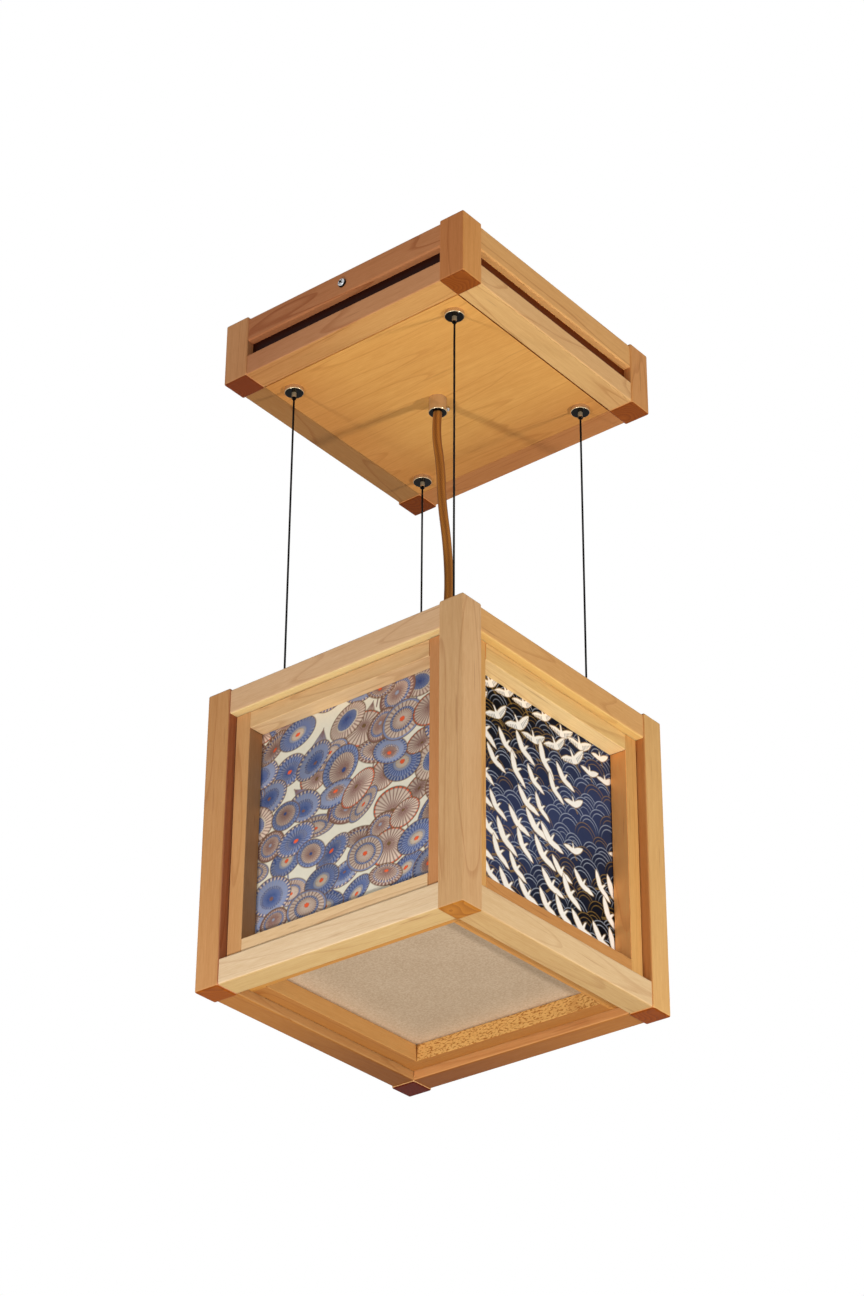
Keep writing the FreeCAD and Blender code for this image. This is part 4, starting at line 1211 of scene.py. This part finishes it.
class LAMP_OT_light_fittings(bpy.types.Operator):
    """Gives the diffuser, lampholder, bush, terminal block and bulb their finishes."""

    bl_idname = "lamp.light_fittings"
    bl_label = "Lamp and diffuser"

    def execute(self, context):
        tones = context.scene.lamp_fittings
        material, tree = new_tree("Diffuser sheet")
        place = place_in(tree)
        mottle = noise(tree, place, 620.0, 4.0, 0.75)
        cloud = noise(tree, place, 24.0, 2.0)
        tone = plus(tree, times(tree, mottle, 0.8), times(tree, cloud, 0.12))
        shade = mixed(tree, between(tree, tone, 0.28, 0.64), tones.diffuser, tint(158, 134, 107))
        # Painted light: the sheet is paler towards its rim than in its middle.
        outward = [maths(tree, "ABSOLUTE", part) for part in parts_of(tree, place)[:2]]
        rim = between(tree, maths(tree, "MAXIMUM", *outward), 0.055, 0.092)
        shade = mixed(tree, rim, shade, mixed(tree, 1.0, shade, (1.18, 1.19, 1.22), "MULTIPLY"))
        finished(tree, shade, (0.6, 0.8), mottle, 0.0001, 0.3, Specular_IOR_Level=0.3)
        dress(["diffuser"], material)
        dress(["lampholder", "flex_bush"], moulded("Brown moulding", tones.holder, 0.3))
        dress(["terminal_block"], moulded("Pale moulding", tones.terminal, 0.36))
        dress(["bulb"], moulded("Opal bulb", tones.bulb, 0.16))
        return {"FINISHED"}


# Stage


def square(name, centre, side):
    """A flat square that faces up."""
    half = side / 2
    corners = np.array([(-half, -half, 0), (half, -half, 0), (half, half, 0), (-half, half, 0)]) + centre
    return new_piece(name, corners, [(0, 1, 2, 3)])


def studio_lamp(name, place, aim, power, width, colour):
    light = bpy.data.lights.new(name, "AREA")
    light.shape = "SQUARE"
    light.size = width
    light.energy = power
    light.color = colour
    lamp = bpy.data.objects.new(name, light)
    lamp.location = place
    lamp.rotation_mode = "QUATERNION"
    lamp.rotation_quaternion = (Vector(aim) - Vector(place)).to_track_quat("-Z", "Y")
    lamp.visible_camera = False
    bpy.context.scene.collection.objects.link(lamp)


def seen_rays(tree):
    """1 for rays that show a thing to the camera, also in gloss or through glass, and 0 for its light."""
    ray = put(tree, "ShaderNodeLightPath").outputs
    seen = maths(tree, "MAXIMUM", ray["Is Camera Ray"], ray["Is Glossy Ray"])
    return maths(tree, "MAXIMUM", seen, ray["Is Transmission Ray"])


class LAMP_OT_stage(bpy.types.Operator):
    """Sets the pale floor, five lamps round the object, the white surroundings and the camera."""

    bl_idname = "lamp.stage"
    bl_label = "Stage"

    def execute(self, context):
        scene = context.scene
        settings = scene.lamp_stage
        scene.view_settings.view_transform = "Standard"
        floor = square("floor", (0, 0, settings.floor_level), side=14.0)
        material, tree = new_tree("Pale floor")
        place = place_in(tree)
        cloud = noise(tree, place, 1.5, 2.0)
        glow = times(tree, seen_rays(tree), settings.floor_glow)
        pale = mixed(tree, cloud, tint(246, 246, 246), tint(238, 238, 238))
        finished(tree, pale, 0.9, Emission_Color=(1.0, 1.0, 1.0, 1.0), Emission_Strength=glow)
        floor.data.materials.append(material)
        world = bpy.data.worlds.new("Surroundings")
        world.use_nodes = True
        tree = world.node_tree
        tree.nodes.clear()
        soft = put(tree, "ShaderNodeBackground", {"Color": (1, 1, 1, 1), "Strength": settings.ambient})
        bright = put(tree, "ShaderNodeBackground", {"Color": (1, 1, 1, 1), "Strength": 1.0})
        inputs = {0: seen_rays(tree), 1: soft.outputs[0], 2: bright.outputs[0]}
        both = put(tree, "ShaderNodeMixShader", inputs)
        put(tree, "ShaderNodeOutputWorld", {"Surface": both.outputs[0]})
        scene.world = world
        aim = (0.0, 0.0, -0.32)
        white, warm = (1.0, 1.0, 1.0), (1.0, 0.9, 0.68)
        width = settings.lamp_width
        studio_lamp("left lamp", (-0.16, -0.78, -1.1), aim, settings.left_power, width, white)
        studio_lamp("right lamp", (1.25, 0.17, -1.22), aim, settings.right_power, 1.6 * width, white)
        studio_lamp("low lamp", (0.2, -0.25, -2.4), aim, settings.low_power, 1.6, warm)
        studio_lamp("front lamp", (0.5, -1.9, -1.2), aim, settings.front_power, 0.8, white)
        studio_lamp("back lamp", (-1.3, 1.4, 0.5), aim, settings.back_power, 1.2, white)
        place, target = Vector(settings.camera_place), Vector(settings.camera_target)
        camera = bpy.data.objects.new("camera", bpy.data.cameras.new("camera"))
        scene.collection.objects.link(camera)
        camera.data.lens = settings.lens
        camera.data.sensor_width = 36.0
        camera.data.clip_start = 0.05
        camera.data.clip_end = 60.0
        camera.rotation_mode = "QUATERNION"
        aimed = (target - place).to_track_quat("-Z", "Y").to_matrix().to_4x4()
        rolled = aimed @ Matrix.Rotation(settings.camera_roll, 4, "Z")
        camera.matrix_world = Matrix.Translation(place) @ rolled
        scene.camera = camera
        return {"FINISHED"}


class LAMP_PT_dressing(bpy.types.Panel):
    bl_label = "Pendant lamp"
    bl_idname = "LAMP_PT_dressing"
    bl_space_type = "VIEW_3D"
    bl_region_type = "UI"
    bl_category = "Lamp"

    def draw(self, context):
        for operator in OPERATORS:
            self.layout.operator(operator.bl_idname)
        for group in SETTINGS:
            values = getattr(context.scene, group)
            box = self.layout.box()
            for name in values.bl_rna.properties.keys():
                if name not in ("rna_type", "name"):
                    box.prop(values, name)


SETTINGS = {
    "lamp_cords": CordSettings,
    "lamp_wood": WoodSettings,
    "lamp_prints": PrintSettings,
    "lamp_fittings": FittingSettings,
    "lamp_stage": StageSettings,
}
OPERATORS = (
    LAMP_OT_cables,
    LAMP_OT_flex,
    LAMP_OT_canopy_wood,
    LAMP_OT_lantern_wood,
    LAMP_OT_prints,
    LAMP_OT_metal,
    LAMP_OT_light_fittings,
    LAMP_OT_stage,
)


def register():
    for group in SETTINGS.values():
        bpy.utils.register_class(group)
    for name, group in SETTINGS.items():
        setattr(bpy.types.Scene, name, bpy.props.PointerProperty(type=group))
    for operator in OPERATORS:
        bpy.utils.register_class(operator)
    bpy.utils.register_class(LAMP_PT_dressing)


def unregister():
    bpy.utils.unregister_class(LAMP_PT_dressing)
    for operator in reversed(OPERATORS):
        bpy.utils.unregister_class(operator)
    for name in SETTINGS:
        delattr(bpy.types.Scene, name)
    for group in reversed(SETTINGS.values()):
        bpy.utils.unregister_class(group)


def main():
    register()
    bpy.ops.lamp.cables()
    bpy.ops.lamp.flex()
    bpy.ops.lamp.canopy_wood()
    bpy.ops.lamp.lantern_wood()
    bpy.ops.lamp.prints()
    bpy.ops.lamp.metal()
    bpy.ops.lamp.light_fittings()
    bpy.ops.lamp.stage()


if __name__ == "__main__":
    main()
